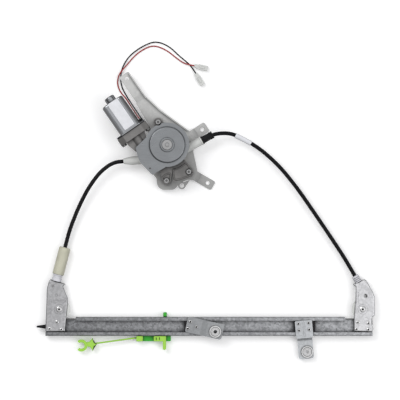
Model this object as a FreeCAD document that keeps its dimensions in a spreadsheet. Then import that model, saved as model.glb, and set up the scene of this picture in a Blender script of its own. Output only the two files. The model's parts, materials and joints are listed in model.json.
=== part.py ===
import FreeCAD, Part
import math
import os
from types import SimpleNamespace

import Sketcher
from FreeCAD import Placement, Rotation, Vector

# Cable window regulator, lying flat with its working side up.
# Millimetres. X runs along the guide rail, Y across it, Z up from the table.
# The origin is the middle of the footprint, on the table.

SIZES = {
    # guide rail, a C section of rolled sheet, open upwards
    "rail_length": 521.6,
    "rail_left_end": -255.5,
    "rail_line": -176.6,
    "rail_width": 30.2,
    "rail_depth": 10.0,
    "rail_sheet": 1.2,
    "rail_lip": 5.8,
    "rail_bend": 2.0,
    "rail_base": 4.5,
    "lip_cut_left": 47.5,
    "lip_cut_right": 43.0,
    "lip_cut_slant": 2.5,
    "lip_cut_margin": 0.2,
    # steel cable and its two pulleys
    "cable_radius": 0.75,
    "cable_play": 0.05,
    "cable_level": 9.5,
    "pulley_groove": 15.9,
    "pulley_rim": 17.2,
    "pulley_width": 6.2,
    "pulley_bore_play": 0.05,
    "pulley_window": 2.0,
    "axle_radius": 4.0,
    "axle_neck": 3.0,
    "axle_head": 4.6,
    "axle_head_height": 1.2,
    "axle_flange": 6.5,
    "left_pulley_x": -233.6,
    "right_pulley_x": 250.4,
    "pulley_y": -149.2,
    "left_cable_angle": 75.5,
    "right_cable_angle": 120.0,
    # pressed pans that carry the pulleys
    "pan_sheet": 1.5,
    "pan_height": 14.6,
    "pan_pulley_gap": 0.5,
    "pan_bend": 2.2,
    "pan_boss": 7.5,
    "pan_boss_rise": 0.7,
    "pan_rib": 2.2,
    "left_fixing_hole": 2.4,
    "right_fixing_hole": 3.2,
    "rivet_radius": 1.8,
    "rivet_shoulder": 2.3,
    "rivet_head": 2.8,
    "rivet_head_height": 0.9,
    "hole_play": 0.1,
    # outer casings of the cable and what seats them
    "conduit_radius": 3.2,
    "socket_play": 0.05,
    "cable_bore": 1.2,
    "left_seat": 42.0,
    "right_seat": 41.0,
    "spigot_radius": 3.3,
    "neck_radius": 8.0,
    "neck_length": 11.0,
    "plunger_radius": 7.4,
    "plunger_length": 9.0,
    "stem_radius": 4.6,
    "stem_length": 24.0,
    "tube_radius": 9.25,
    "tube_length": 44.3,
    "tube_bore": 7.6,
    "tube_end": 9.5,
    "socket_depth": 6.0,
    "spring_wire": 0.7,
    "spring_radius": 6.0,
    "spring_turns": 5.0,
    "ferrule_radius": 6.0,
    "ferrule_length": 11.2,
    # glass carriages
    "slider_play": 0.35,
    "slider_a_length": 30.5,
    "slider_b_length": 34.0,
    "slider_a_x": -19.0,
    "slider_b_x": 157.5,
    "plate_gap": 0.4,
    "plate_sheet": 1.5,
    "nipple_radius": 2.0,
    "nipple_length": 7.0,
    "carriage_rivet": 1.6,
    "carriage_rivet_head": 2.4,
    "bracket_a_x": -18.5,
    "bracket_a_y": -175.4,
    "bracket_a_turn": -12.6,
    "bracket_a_width": 25.0,
    "bracket_a_rise": 4.5,
    "bracket_b_x": 156.4,
    "bracket_b_turn": 5.0,
    "bracket_b_width": 27.4,
    "bracket_b_drop": 7.2,
    "tab_b_width": 24.0,
    "tab_b_length": 31.0,
    "tab_b_flange": 5.0,
    "nut_bore": 3.0,
    "nut_barrel": 4.6,
    "nut_flange": 9.7,
    "nut_ring": 7.7,
    "nut_height": 2.6,
    # moulded clip on the rail
    "clip_strap": 3.4,
    "clip_strap_width": 5.6,
    "clip_strap_x": -65.0,
    "clip_grip": 3.0,
    "clip_height": 13.4,
    "clip_play": 0.3,
    "knuckle_depth": 12.6,
    "clip_rod": 1.3,
    "clip_fork_bore": 5.1,
    "clip_fork_wall": 4.4,
    # drive unit, about the drum's axis
    "drum_x": -61.1,
    "drum_y": 112.4,
    "plate_level": 8.0,
    "base_sheet": 2.0,
    "arm_a_width": 18.0,
    "arm_a_rise": 3.5,
    "arm_a_reach": 58.2,
    "arm_b_width": 17.0,
    "arm_b_reach": 27.0,
    "arm_c_width": 15.6,
    "arm_c_reach": 33.0,
    "arm_hole": 3.3,
    "edge_flange": 5.0,
    "eyelet_hole": 3.5,
    "eyelet_radius": 6.1,
    "drum_case_radius": 27.0,
    "drum_case_height": 18.0,
    "drum_case_wall": 1.8,
    "drum_radius": 20.0,
    "drum_pitch": 1.8,
    "drum_flange": 22.5,
    "drum_left_level": 17.2,
    "drum_right_level": 20.8,
    "left_run_angle": 4.7,
    "right_run_angle": 28.7,
    "left_outlet_reach": 71.7,
    "right_outlet_reach": 51.6,
    "outlet_radius": 7.0,
    "outlet_tip": 4.7,
    "sleeve_radius": 6.6,
    "boot_length": 20.0,
    "boot_wall": 1.6,
    "gear_case_radius": 34.0,
    "gear_case_height": 18.0,
    "gear_case_floor": 2.0,
    "gear_case_wall": 3.0,
    "cover_radius": 35.0,
    "cover_sheet": 1.2,
    "dome_radius": 27.5,
    "dome_rise": 3.2,
    "hub_ring": 10.7,
    "hub_rise": 1.3,
    "shaft_radius": 4.0,
    "shaft_cap": 8.5,
    "running_play": 0.06,
    "drive_square": 10.8,
    "screw_radius": 2.5,
    "screw_head": 5.0,
    "screw_head_height": 3.2,
    "ear_height": 22.0,
    "ear_radius": 7.4,
    # worm and wheel
    "module": 1.0,
    "wheel_teeth": 57.0,
    "wheel_face": 8.0,
    "worm_pitch_radius": 5.1,
    "worm_length": 30.0,
    "tooth_play": 0.16,
    "tip_play": 0.25,
    "pressure_angle": 20.0,
    # motor, along its own axis from the worm's middle
    "motor_angle": -55.4,
    "can_front": -53.6,
    "can_length": 52.6,
    "can_radius": 19.0,
    "can_flat": 14.0,
    "can_sheet": 1.5,
    "can_boss": 8.5,
    "can_boss_length": 9.0,
    "can_edge": 3.0,
    "motor_flange": 27.0,
    "flange_block": 12.0,
    "gasket_sheet": 1.1,
    "worm_tube_radius": 9.5,
    "worm_tube_end": 25.0,
    "bush_radius": 5.9,
    "armature_radius": 2.5,
    "core_radius": 11.5,
    "core_length": 27.0,
    "core_slots": 8.0,
    "commutator_radius": 5.2,
    "magnet_gap": 0.7,
    "motor_bolt": 22.5,
    # loose leads
    "lead_radius": 1.0,
    "connector_length": 21.5,
    "connector_width": 8.0,
    "connector_height": 7.6,
}

doc = FreeCAD.newDocument("WindowRegulator")
sheet = doc.addObject("Spreadsheet::Sheet", "Sizes")
for row, (alias, number) in enumerate(SIZES.items(), start=1):
    sheet.set(f"A{row}", alias.replace("_", " "))
    sheet.set(f"B{row}", str(number))
    sheet.setAlias(f"B{row}", alias)
doc.recompute()
s = SimpleNamespace(**{alias: float(sheet.get(alias)) for alias in SIZES})
nodes = []

# Helpers for bodies, sketches and features


def bind(target, name, amount):
    """Sets a property to a number, or ties it to the sheet with an expression."""
    if isinstance(amount, str):
        target.setExpression(name, amount)
    elif name.startswith("Placement.Base."):
        base = Vector(target.Placement.Base)
        setattr(base, name[-1], amount)
        target.Placement = Placement(base, target.Placement.Rotation)
    else:
        setattr(target, name, amount)


def put(target, x=0.0, y=0.0, z=0.0, turn=0.0):
    """Places an object by numbers or sheet expressions, turned about Z."""
    target.Placement = Placement(Vector(), Rotation(Vector(0, 0, 1), turn))
    for axis, amount in zip("xyz", (x, y, z)):
        bind(target, f"Placement.Base.{axis}", amount)
    return target


def point_along(target, start, direction):
    """Places an object with its own Z axis along a direction."""
    target.Placement = Placement(start, Rotation(Vector(0, 0, 1), direction))
    return target


def new_body(label, keep=True):
    body = doc.addObject("PartDesign::Body", label)
    body.Label = label
    if keep:
        nodes.append(body)
    return body


def sketch_on(body, role="XY_Plane", level=0.0, offset=None):
    """A sketch on one of the body's own planes, raised by a number or expression."""
    plane = next(item for item in body.Origin.OriginFeatures if item.Role == role)
    sketch = body.newObject("Sketcher::SketchObject", f"{body.Name}_sketch")
    sketch.AttachmentSupport = [(plane, "")]
    sketch.MapMode = "FlatFace"
    if offset is not None:
        sketch.AttachmentOffset = offset
    elif isinstance(level, str):
        sketch.setExpression("AttachmentOffset.Base.z", level)
    else:
        sketch.AttachmentOffset = Placement(Vector(0, 0, level), Rotation())
    return sketch


def add_circle(sketch, x, y, radius):
    """A circle whose radius is a number or a sheet expression."""
    number = radius
    if isinstance(radius, str):
        number = float(sheet.evalExpression(radius.replace("Sizes.", "")))
    index = sketch.addGeometry(Part.Circle(Vector(x, y, 0), Vector(0, 0, 1), number))
    rule = sketch.addConstraint(Sketcher.Constraint("Radius", index, number))
    if isinstance(radius, str):
        sketch.setExpression(f"Constraints[{rule}]", radius)
    return index


def corner_arc(before, corner, after, radius):
    """Both ends and the middle of the arc that rounds a corner."""
    back = (before - corner).normalize()
    ahead = (after - corner).normalize()
    half = back.getAngle(ahead) / 2
    reach = radius / math.tan(half)
    inward = (back + ahead).normalize()
    middle = corner + inward * (radius / math.sin(half) - radius)
    return corner + back * reach, middle, corner + ahead * reach


def outline(corners):
    """Closed chain of lines and arcs; a corner is (x, y) or (x, y, rounding radius)."""
    points = [Vector(corner[0], corner[1], 0) for corner in corners]
    radii = [corner[2] if len(corner) > 2 else 0.0 for corner in corners]
    stops = []
    for index, point in enumerate(points):
        if radii[index] > 0:
            after = points[(index + 1) % len(points)]
            stops.append(corner_arc(points[index - 1], point, after, radii[index]))
        else:
            stops.append((point, None, point))
    edges = []
    for index, (entry, middle, leave) in enumerate(stops):
        if middle is not None:
            edges.append(Part.Arc(entry, middle, leave))
        target = stops[(index + 1) % len(stops)][0]
        if leave.distanceToPoint(target) > 1e-6:
            edges.append(Part.LineSegment(leave, target))
    return edges


def moved_corners(corners, shifts):
    """Corners of an outline whose edges are each moved inwards by their own shift.

    The outline runs anticlockwise, and edge i goes from corner i to corner i + 1."""
    lines = []
    count = len(corners)
    for index in range(count):
        start = Vector(corners[index][0], corners[index][1], 0)
        end = Vector(corners[(index + 1) % count][0], corners[(index + 1) % count][1], 0)
        along = (end - start).normalize()
        inward = Vector(-along.y, along.x, 0)
        lines.append((start + inward * shifts[index], along))
    result = []
    for index in range(count):
        base, along = lines[index - 1]
        other, across = lines[index]
        gap = other - base
        spread = along.x * across.y - along.y * across.x
        reach = (gap.x * across.y - gap.y * across.x) / spread
        meet = base + along * reach
        result.append((meet.x, meet.y))
    return result


def add_feature(body, kind, profile):
    feature = body.newObject(f"PartDesign::{kind}", f"{body.Name}_{kind.lower()}")
    feature.Profile = profile
    return feature


def pad(body, sketch, length, down=False):
    feature = add_feature(body, "Pad", sketch)
    bind(feature, "Length", length)
    feature.Reversed = down
    return feature


def pocket(body, sketch, depth, up=False):
    """Cuts against the sketch's normal, or along it when up is set."""
    feature = add_feature(body, "Pocket", sketch)
    bind(feature, "Length", depth)
    feature.Reversed = up
    return feature


def revolve(body, corners, role="XZ_Plane", axis="V_Axis", kind="Revolution", level=0.0):
    """Turns a closed profile about a sketch axis: XZ and V_Axis give (radius, Z)."""
    sketch = sketch_on(body, role, level)
    sketch.addGeometry(outline(corners))
    feature = add_feature(body, kind, sketch)
    feature.ReferenceAxis = (sketch, [axis])
    feature.Angle = 360
    return feature


def fillet(body, feature, radius, chosen):
    """Rounds the edges of a feature that the given test chooses."""
    doc.recompute()
    names = []
    for index, edge in enumerate(feature.Shape.Edges, start=1):
        if chosen(edge):
            names.append(f"Edge{index}")
    rounded = body.newObject("PartDesign::Fillet", f"{body.Name}_fillet")
    rounded.Base = (feature, names)
    bind(rounded, "Radius", radius)
    return rounded


def lies_at(edge, level):
    """True for an edge that lies wholly at one height of its body."""
    box = edge.BoundBox
    return abs(box.ZMin - level) < 0.01 and abs(box.ZMax - level) < 0.01


def stands(edge):
    """True for a straight upright edge."""
    box = edge.BoundBox
    return box.XLength < 0.01 and box.YLength < 0.01 and box.ZLength > 0.1


def bore(body, radius, length, base, direction):
    """A round hole in any direction, as a subtractive cylinder."""
    tool = body.newObject("PartDesign::SubtractiveCylinder", f"{body.Name}_bore")
    bind(tool, "Radius", radius)
    bind(tool, "Height", length)
    tool.Placement = Placement(base, Rotation(Vector(0, 0, 1), direction))
    return tool


def boss(body, radius, length, base, direction):
    """A round stud in any direction, as an additive cylinder."""
    tool = body.newObject("PartDesign::AdditiveCylinder", f"{body.Name}_boss")
    bind(tool, "Radius", radius)
    bind(tool, "Height", length)
    tool.Placement = Placement(base, Rotation(Vector(0, 0, 1), direction))
    return tool


def pattern_about_z(body, feature, sketch, count):
    """Repeats a feature evenly about the body's Z axis."""
    ring = body.newObject("PartDesign::PolarPattern", f"{body.Name}_ring")
    ring.Originals = [feature]
    ring.Axis = (sketch, ["N_Axis"])
    ring.Angle = 360
    ring.Occurrences = count
    body.Tip = ring
    return ring


def group(label, master, places):
    """One node of several equal pieces, as links to a master body."""
    links = []
    for place in places:
        link = doc.addObject("App::Link", f"{label}_piece")
        link.LinkedObject = master
        link.Placement = place
        links.append(link)
    compound = doc.addObject("Part::Compound", label)
    compound.Label = label
    compound.Links = links
    nodes.append(compound)
    return compound


def turned(label, corners, keep=True):
    """A body turned from one profile of (radius, height) corners about Z."""
    body = new_body(label, keep)
    revolve(body, corners)
    return body


def shaped(label, shape):
    """A free shape, for pieces that follow a wire or a pair of lofted outlines."""
    piece = doc.addObject("Part::Feature", label)
    piece.Label = label
    piece.Shape = shape
    nodes.append(piece)
    return piece


def route_wire(points):
    """Straight runs joined by tangent arcs as large as the runs allow."""
    stops = []
    radii = []
    for index in range(1, len(points) - 1):
        before, corner, after = points[index - 1 : index + 2]
        turn = (corner - before).getAngle(after - corner)
        shorter = min((corner - before).Length, (after - corner).Length)
        radius = ROUTE_SHARE * shorter / math.tan(turn / 2)
        radii.append(radius)
        stops.append(corner_arc(before, corner, after, radius))
    edges = []
    here = points[0]
    for entry, middle, leave in stops:
        edges.append(Part.LineSegment(here, entry).toShape())
        edges.append(Part.Arc(entry, middle, leave).toShape())
        here = leave
    edges.append(Part.LineSegment(here, points[-1]).toShape())
    return Part.Wire(edges), radii


def tube_along(wire, radius):
    """A round solid swept along a wire of runs and arcs."""
    start = wire.Edges[0].valueAt(wire.Edges[0].FirstParameter)
    heading = wire.Edges[0].tangentAt(wire.Edges[0].FirstParameter)
    ring = Part.Wire(Part.makeCircle(radius, start, heading))
    return wire.makePipeShell([ring], True, False)


def cord(label, points, radius):
    """A cord's plain tube, with its bend radii and its volume printed."""
    wire, radii = route_wire(points)
    solid = tube_along(wire, radius)
    expected = math.pi * radius**2 * wire.Length
    print(
        f"{label}: length {wire.Length:.1f}, smallest radius {min(radii):.1f},"
        f" volume share {solid.Volume / expected:.4f}"
    )
    return shaped(label, solid)


def polar(radius, degrees):
    return Vector(math.cos(math.radians(degrees)), math.sin(math.radians(degrees)), 0) * radius


ROUTE_SHARE = 0.45
UP = Vector(0, 0, 1)
DOWN = Vector(0, 0, -1)
THROUGH = 60.0

# Heights that several pieces share
rail_top = s.rail_base + s.rail_depth
web_top = s.rail_base + s.rail_sheet
pan_under = s.pan_height - s.pan_sheet
carriage_under = rail_top + s.plate_gap
cable_y = s.pulley_y - s.pulley_groove
plate_top = s.plate_level + s.base_sheet
drum_case_top = plate_top + s.drum_case_height
gear_case_top = drum_case_top + s.gear_case_height
worm_level = drum_case_top + s.gear_case_floor + 6.0
left_pulley = Vector(s.left_pulley_x, s.pulley_y, s.cable_level)
right_pulley = Vector(s.right_pulley_x, s.pulley_y, s.cable_level)
drum_axis = Vector(s.drum_x, s.drum_y, 0)

# Guide rail


def guide_rail():
    body = new_body("guide_rail")
    put(body, "Sizes.rail_left_end", "Sizes.rail_line", "Sizes.rail_base")
    half = s.rail_width / 2
    inner = half - s.rail_sheet
    lip = half - s.rail_lip
    bend = s.rail_bend
    fold = bend - s.rail_sheet
    ceiling = s.rail_depth - s.rail_sheet
    profile = [
        (-half, 0, bend),
        (half, 0, bend),
        (half, s.rail_depth, bend),
        (lip, s.rail_depth),
        (lip, ceiling),
        (inner, ceiling, fold),
        (inner, s.rail_sheet, fold),
        (-inner, s.rail_sheet, fold),
        (-inner, ceiling, fold),
        (-lip, ceiling),
        (-lip, s.rail_depth),
        (-half, s.rail_depth, bend),
    ]
    section = sketch_on(body, "YZ_Plane")
    section.addGeometry(outline(profile))
    pad(body, section, "Sizes.rail_length")
    # the upper wall and lip stop short of both pulleys, on a slant
    wall_line = cable_y - s.rail_line + s.cable_radius + s.lip_cut_margin
    lip_line = lip - s.lip_cut_margin
    for keep_to, level in ((wall_line, 0), (lip_line, s.rail_sheet + fold)):
        ends = sketch_on(body, level=level)
        ends.addGeometry(rail_end_cut(keep_to, -5, s.lip_cut_left, 1))
        far = s.rail_length + 5
        ends.addGeometry(rail_end_cut(keep_to, far, s.rail_length - s.lip_cut_right, -1))
        pocket(body, ends, THROUGH, up=True)
    holes = sketch_on(body)
    for x, y in LEFT_RIVETS + RIGHT_RIVETS:
        radius = "Sizes.rivet_radius + Sizes.hole_play"
        add_circle(holes, x - s.rail_left_end, y - s.rail_line, radius)
    pocket(body, holes, "Sizes.rail_sheet", up=True)
    return body


def rail_end_cut(keep_to, far, near, inward):
    """Region of the rail above a line that is cut away from one end."""
    beyond = s.rail_width
    lean = s.lip_cut_slant * inward
    return outline([(far, keep_to), (near, keep_to), (near + lean, beyond), (far, beyond)])


# places of the rivets that hold the pans to the rail
LEFT_RIVETS = [(-237.0, -169.6), (-230.1, -181.3), (-248.6, -180.2)]
RIGHT_RIVETS = [(242.7, -170.0), (240.7, -181.0), (259.8, -171.4), (259.4, -181.6)]

guide_rail()

# Pulley brackets: drawn pans whose flanges stand on the table

LEFT_PAN = [
    (-15.7, 48.0, 3.0),
    (-19.7, 33.4, 4.0),
    (-22.2, -36.2, 1.5),
    (9.6, -35.6, 1.5),
    (11.5, -13.0, 4.0),
    (13.4, 6.9, 4.0),
    (14.2, 16.2, 4.0),
    (6.2, 36.6, 1.0),
    (9.6, 40.2, 0.8),
]
# which edges of the left pan carry a flange: the far side and the top
LEFT_FLANGES = [True, True, False, False, False, False, False, False, True]

RIGHT_PAN = [
    (-15.5, 39.6, 0.8),
    (-11.2, 35.4, 1.0),
    (-12.0, 10.6, 4.0),
    (-14.2, -12.0, 4.0),
    (-14.2, -35.4, 1.5),
    (14.1, -36.2, 2.0),
    (17.2, -32.0, 1.0),
    (14.6, -22.4, 2.0),
    (14.9, -13.5, 1.5),
    (19.5, -9.5, 1.5),
    (19.5, 19.2, 4.0),
    (15.5, 29.0, 4.0),
    (4.5, 48.3, 3.0),
]
RIGHT_FLANGES = [False] * 9 + [True, True, True, True]
OPEN_SIDE = -6.0


def pan(label, corners, flanges, centre, details):
    """A plate with flanges turned down to the table along some of its edges."""
    body = new_body(label)
    put(body, centre.x, "Sizes.pulley_y", 0.0)
    block = sketch_on(body)
    block.addGeometry(outline(corners))
    solid = pad(body, block, "Sizes.pan_height")
    shifts = [s.pan_sheet if flanged else OPEN_SIDE for flanged in flanges]
    lines = []
    for index, flanged in enumerate(flanges):
        if flanged:
            first = corners[index]
            last = corners[(index + 1) % len(corners)]
            lines.append((Vector(first[0], first[1], 0), Vector(last[0], last[1], 0)))

    def on_flange(edge):
        if not lies_at(edge, s.pan_height):
            return False
        middle = edge.valueAt((edge.FirstParameter + edge.LastParameter) / 2)
        middle = Vector(middle.x, middle.y, 0)
        return any(
            middle.distanceToLineSegment(first, last).Length < 1.6 for first, last in lines
        )

    fillet(body, solid, "Sizes.pan_bend", on_flange)
    hollow = sketch_on(body)
    hollow.addGeometry(outline(moved_corners(corners, shifts)))
    pocket(body, hollow, "Sizes.pan_height - Sizes.pan_sheet", up=True)
    raised = sketch_on(body, level="Sizes.pan_height")
    add_circle(raised, 0, 0, "Sizes.pan_boss")
    for rib in details["ribs"]:
        raised.addGeometry(outline(rib))
    pad(body, raised, "Sizes.pan_boss_rise")
    holes = sketch_on(body, level=pan_under)
    add_circle(holes, 0, 0, "Sizes.axle_neck")
    hole_x, hole_y, hole_radius = details["hole"]
    add_circle(holes, hole_x, hole_y, hole_radius)
    for x, y in details["rivets"]:
        add_circle(
            holes, x - centre.x, y - s.pulley_y, "Sizes.rivet_radius + Sizes.hole_play"
        )
    pocket(body, holes, THROUGH, up=True)
    if "open_below" in details:
        gap = sketch_on(body)
        gap.addGeometry(outline(details["open_below"]))
        pocket(body, gap, "Sizes.pan_height - Sizes.pan_sheet", up=True)
    if "dimple" in details:
        dimple = sketch_on(body, level="Sizes.pan_height")
        add_circle(dimple, *details["dimple"])
        pocket(body, dimple, DIMPLE_DEPTH)
    # the cable's casing seats on the top flange, and its spigot goes through
    foot, along = cable_exit(centre, details["cable_angle"])
    seat = foot + along * details["seat"] - Vector(centre.x, s.pulley_y, 0)
    bore(body, "Sizes.spigot_radius + Sizes.hole_play", SEAT_CUT, seat - along * 5, along)
    spot = body.newObject("PartDesign::SubtractiveCylinder", f"{label}_spot")
    bind(spot, "Radius", details["spot"])
    bind(spot, "Height", SPOT_REACH)
    spot.Placement = Placement(seat, Rotation(UP, along))
    return body


DIMPLE_DEPTH = 0.6
SEAT_CUT = 10.0
SPOT_REACH = 6.0


def cable_exit(centre, angle):
    """Where the cable leaves a pulley for its casing, and its direction there."""
    along = polar(1, angle)
    side = 1 if angle > 90 else -1
    foot = Vector(centre.x, s.pulley_y, s.cable_level)
    outward = Vector(along.y, -along.x, 0) * side
    return foot + outward * s.pulley_groove, along


def rib_bar(x, y, length, upright):
    """The four rounded corners of a raised bar on a pan."""
    half = s.pan_rib / 2
    long_x, long_y = (half, length / 2) if upright else (length / 2, half)
    round_end = half * 0.9
    return [
        (x - long_x, y - long_y, round_end),
        (x + long_x, y - long_y, round_end),
        (x + long_x, y + long_y, round_end),
        (x - long_x, y + long_y, round_end),
    ]


pan(
    "left_pulley_bracket",
    LEFT_PAN,
    LEFT_FLANGES,
    left_pulley,
    {
        "ribs": [rib_bar(-14.6, 3.0, 24.0, True), rib_bar(-0.5, 13.0, 21.0, False)],
        "hole": (-9.8, 37.4, "Sizes.left_fixing_hole"),
        "dimple": (-4.5, 22.4, "Sizes.left_fixing_hole"),
        "open_below": [(-30, -40), (-18, -40), (-18, -11.5), (-30, -11.5)],
        "rivets": LEFT_RIVETS,
        "cable_angle": s.left_cable_angle,
        "seat": s.left_seat,
        "spot": "Sizes.neck_radius + 0.3",
    },
)
pan(
    "right_pulley_bracket",
    RIGHT_PAN,
    RIGHT_FLANGES,
    right_pulley,
    {
        "ribs": [rib_bar(-8.6, 18.0, 21.0, True)],
        "hole": (4.5, 21.4, "Sizes.right_fixing_hole"),
        "rivets": RIGHT_RIVETS,
        "cable_angle": s.right_cable_angle,
        "seat": s.right_seat,
        "spot": "Sizes.ferrule_radius + 0.3",
    },
)


def bracket_rivets():
    """Shouldered rivets that hold the pans a pillar's height above the rail's web."""
    head = s.rivet_head_height
    master = turned(
        "bracket_rivet_master",
        [
            (0, s.rail_base - head),
            (s.rivet_head, s.rail_base - head),
            (s.rivet_head, s.rail_base),
            (s.rivet_radius, s.rail_base),
            (s.rivet_radius, web_top),
            (s.rivet_shoulder, web_top),
            (s.rivet_shoulder, pan_under),
            (s.rivet_radius, pan_under),
            (s.rivet_radius, s.pan_height),
            (s.rivet_head, s.pan_height),
            (s.rivet_head, s.pan_height + head * 0.4),
            (s.rivet_head * 0.6, s.pan_height + head),
            (0, s.pan_height + head),
        ],
        keep=False,
    )
    places = [Placement(Vector(x, y, 0), Rotation()) for x, y in LEFT_RIVETS + RIGHT_RIVETS]
    group("bracket_rivets", master, places)


bracket_rivets()

# Pulleys and their axles


def pulley(label, centre):
    body = new_body(label)
    put(body, centre.x, "Sizes.pulley_y", "Sizes.cable_level")
    half = s.pulley_width / 2
    bore_radius = s.axle_radius + s.pulley_bore_play
    floor = s.pulley_groove - s.cable_radius - s.cable_play
    hub = 6.5
    ring = 12.6
    web = half * 0.5
    mouth = half * 0.72
    throat = s.cable_radius + 0.15
    revolve(
        body,
        [
            (bore_radius, -half),
            (hub, -half),
            (hub, -web),
            (ring, -web),
            (ring, -half),
            (s.pulley_rim, -half),
            (s.pulley_rim, -mouth),
            (floor, -throat),
            (floor, throat),
            (s.pulley_rim, mouth),
            (s.pulley_rim, half),
            (ring, half),
            (ring, web),
            (hub, web),
            (hub, half),
            (bore_radius, half),
        ],
    )
    windows = sketch_on(body, level=-half)
    add_circle(windows, (hub + ring) / 2, 0, "Sizes.pulley_window")
    cut = pocket(body, windows, "Sizes.pulley_width", up=True)
    pattern_about_z(body, cut, windows, 6)


pulley("left_pulley", left_pulley)
pulley("right_pulley", right_pulley)


def pulley_axles():
    """Shouldered rivets on which the pulleys turn, staked into the pans."""
    half = s.pulley_width / 2
    below = s.cable_level - half - RUNNING_GAP
    flange = 1.3
    crown = s.pan_height + s.pan_boss_rise
    neck = s.axle_neck - s.hole_play
    master = turned(
        "pulley_axle_master",
        [
            (0, below - flange),
            (s.axle_flange, below - flange),
            (s.axle_flange, below),
            (s.axle_radius, below),
            (s.axle_radius, pan_under),
            (neck, pan_under),
            (neck, crown),
            (s.axle_head, crown),
            (s.axle_head, crown + s.axle_head_height * 0.4),
            (s.axle_head * 0.7, crown + s.axle_head_height),
            (0, crown + s.axle_head_height),
        ],
        keep=False,
    )
    places = [
        Placement(Vector(centre.x, s.pulley_y, 0), Rotation())
        for centre in (left_pulley, right_pulley)
    ]
    group("pulley_axles", master, places)


RUNNING_GAP = 0.3
pulley_axles()

# Rubber stops in the ends of the rail


def end_buffer(label, end_x, inward, tail):
    """A block between the rail's walls, with a tapered tail on the left one."""
    body = new_body(label)
    put(body, end_x, "Sizes.rail_line", web_top)
    height = pan_under - web_top - s.clip_play
    half = s.rail_width / 2 - s.rail_sheet - s.clip_play
    reach = BUFFER_LENGTH * inward
    near, far = sorted((0.2 * inward, reach))
    block = sketch_on(body)
    top = cable_y - s.rail_line - s.cable_radius - 1.2
    low = -(half - s.rail_lip + 1.0)
    block.addGeometry(
        outline([(near, low, 0.8), (far, low, 0.8), (far, top, 0.8), (near, top, 0.8)])
    )
    pad(body, block, height)
    if tail:
        cone = body.newObject("PartDesign::AdditiveCone", f"{label}_tail")
        cone.Radius1 = TAIL_ROOT
        cone.Radius2 = TAIL_TIP
        cone.Height = tail
        base = Vector(0.2 * inward, -0.5, height / 2)
        cone.Placement = Placement(base, Rotation(UP, Vector(-inward, 0, 0)))
    return body


BUFFER_LENGTH = 3.6
TAIL_ROOT = 3.5
TAIL_TIP = 1.3
end_buffer("left_end_buffer", "Sizes.rail_left_end", 1, 14.6)
end_buffer("right_end_buffer", "Sizes.rail_left_end + Sizes.rail_length", -1, 0)

# Cable tensioner on the left bracket and plain ferrule on the right one


def tensioner():
    foot, along = cable_exit(left_pulley, s.left_cable_angle)
    seat = foot + along * s.left_seat
    neck_top = s.neck_length
    plunger_top = neck_top + s.plunger_length
    stem_top = plunger_top + s.stem_length
    guide = turned(
        "tensioner_guide",
        [
            (s.cable_bore, -s.pan_sheet - 0.6),
            (s.spigot_radius, -s.pan_sheet - 0.6),
            (s.spigot_radius, 0),
            (s.neck_radius - 0.6, 0),
            (s.neck_radius, 0.6),
            (s.neck_radius, neck_top * 0.45),
            (s.neck_radius - 0.9, neck_top * 0.55),
            (s.neck_radius - 0.9, neck_top * 0.75),
            (s.neck_radius, neck_top * 0.85),
            (s.neck_radius, neck_top),
            (s.plunger_radius, neck_top),
            (s.plunger_radius, plunger_top),
            (s.stem_radius, plunger_top),
            (s.stem_radius, stem_top),
            (s.cable_bore, stem_top),
        ],
    )
    point_along(guide, seat, along)
    low = neck_top + 0.3
    high = low + s.tube_length
    ceiling = high - s.tube_end
    socket = s.conduit_radius + s.socket_play
    housing = turned(
        "tensioner_housing",
        [
            (s.tube_bore, low),
            (s.tube_radius - 0.5, low),
            (s.tube_radius, low + 0.5),
            (s.tube_radius, high - 1.5),
            (s.tube_radius - 1.5, high),
            (socket, high),
            (socket, high - s.socket_depth),
            (s.cable_bore, high - s.socket_depth),
            (s.cable_bore, ceiling),
            (s.tube_bore, ceiling),
        ],
    )
    point_along(housing, seat, along)
    spring_length = ceiling - plunger_top - 2 * s.spring_wire - 0.2
    pitch = spring_length / s.spring_turns
    helix = Part.makeHelix(pitch, spring_length, s.spring_radius)
    ring = Part.Wire(
        Part.makeCircle(s.spring_wire, Vector(s.spring_radius, 0, 0), Vector(0, 1, 0))
    )
    coil = Part.Wire(helix).makePipeShell([ring], True, True)
    spring = shaped("tensioner_spring", coil)
    point_along(spring, seat + along * (plunger_top + s.spring_wire + 0.1), along)
    return seat + along * (high - s.socket_depth)


def ferrule():
    """Ribbed nylon ferrule that seats the right casing on its bracket."""
    foot, along = cable_exit(right_pulley, s.right_cable_angle)
    seat = foot + along * s.right_seat
    socket = s.conduit_radius + s.socket_play
    profile = [(s.cable_bore, -s.pan_sheet - 0.6), (s.spigot_radius, -s.pan_sheet - 0.6)]
    profile += [(s.spigot_radius, 0)]
    ribs = 4
    step = s.ferrule_length / ribs
    for index in range(ribs):
        base = index * step
        profile += [(s.ferrule_radius, base), (s.ferrule_radius, base + step * 0.55)]
        if index < ribs - 1:
            profile += [
                (s.ferrule_radius - 1.0, base + step * 0.65),
                (s.ferrule_radius - 1.0, base + step * 0.95),
            ]
    profile += [(s.ferrule_radius - 1.0, s.ferrule_length), (socket, s.ferrule_length)]
    profile += [(socket, s.ferrule_length - s.socket_depth)]
    profile += [(s.cable_bore, s.ferrule_length - s.socket_depth)]
    point_along(turned("conduit_ferrule", profile), seat, along)
    return seat + along * (s.ferrule_length - s.socket_depth)


left_socket = tensioner()
right_socket = ferrule()


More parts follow.
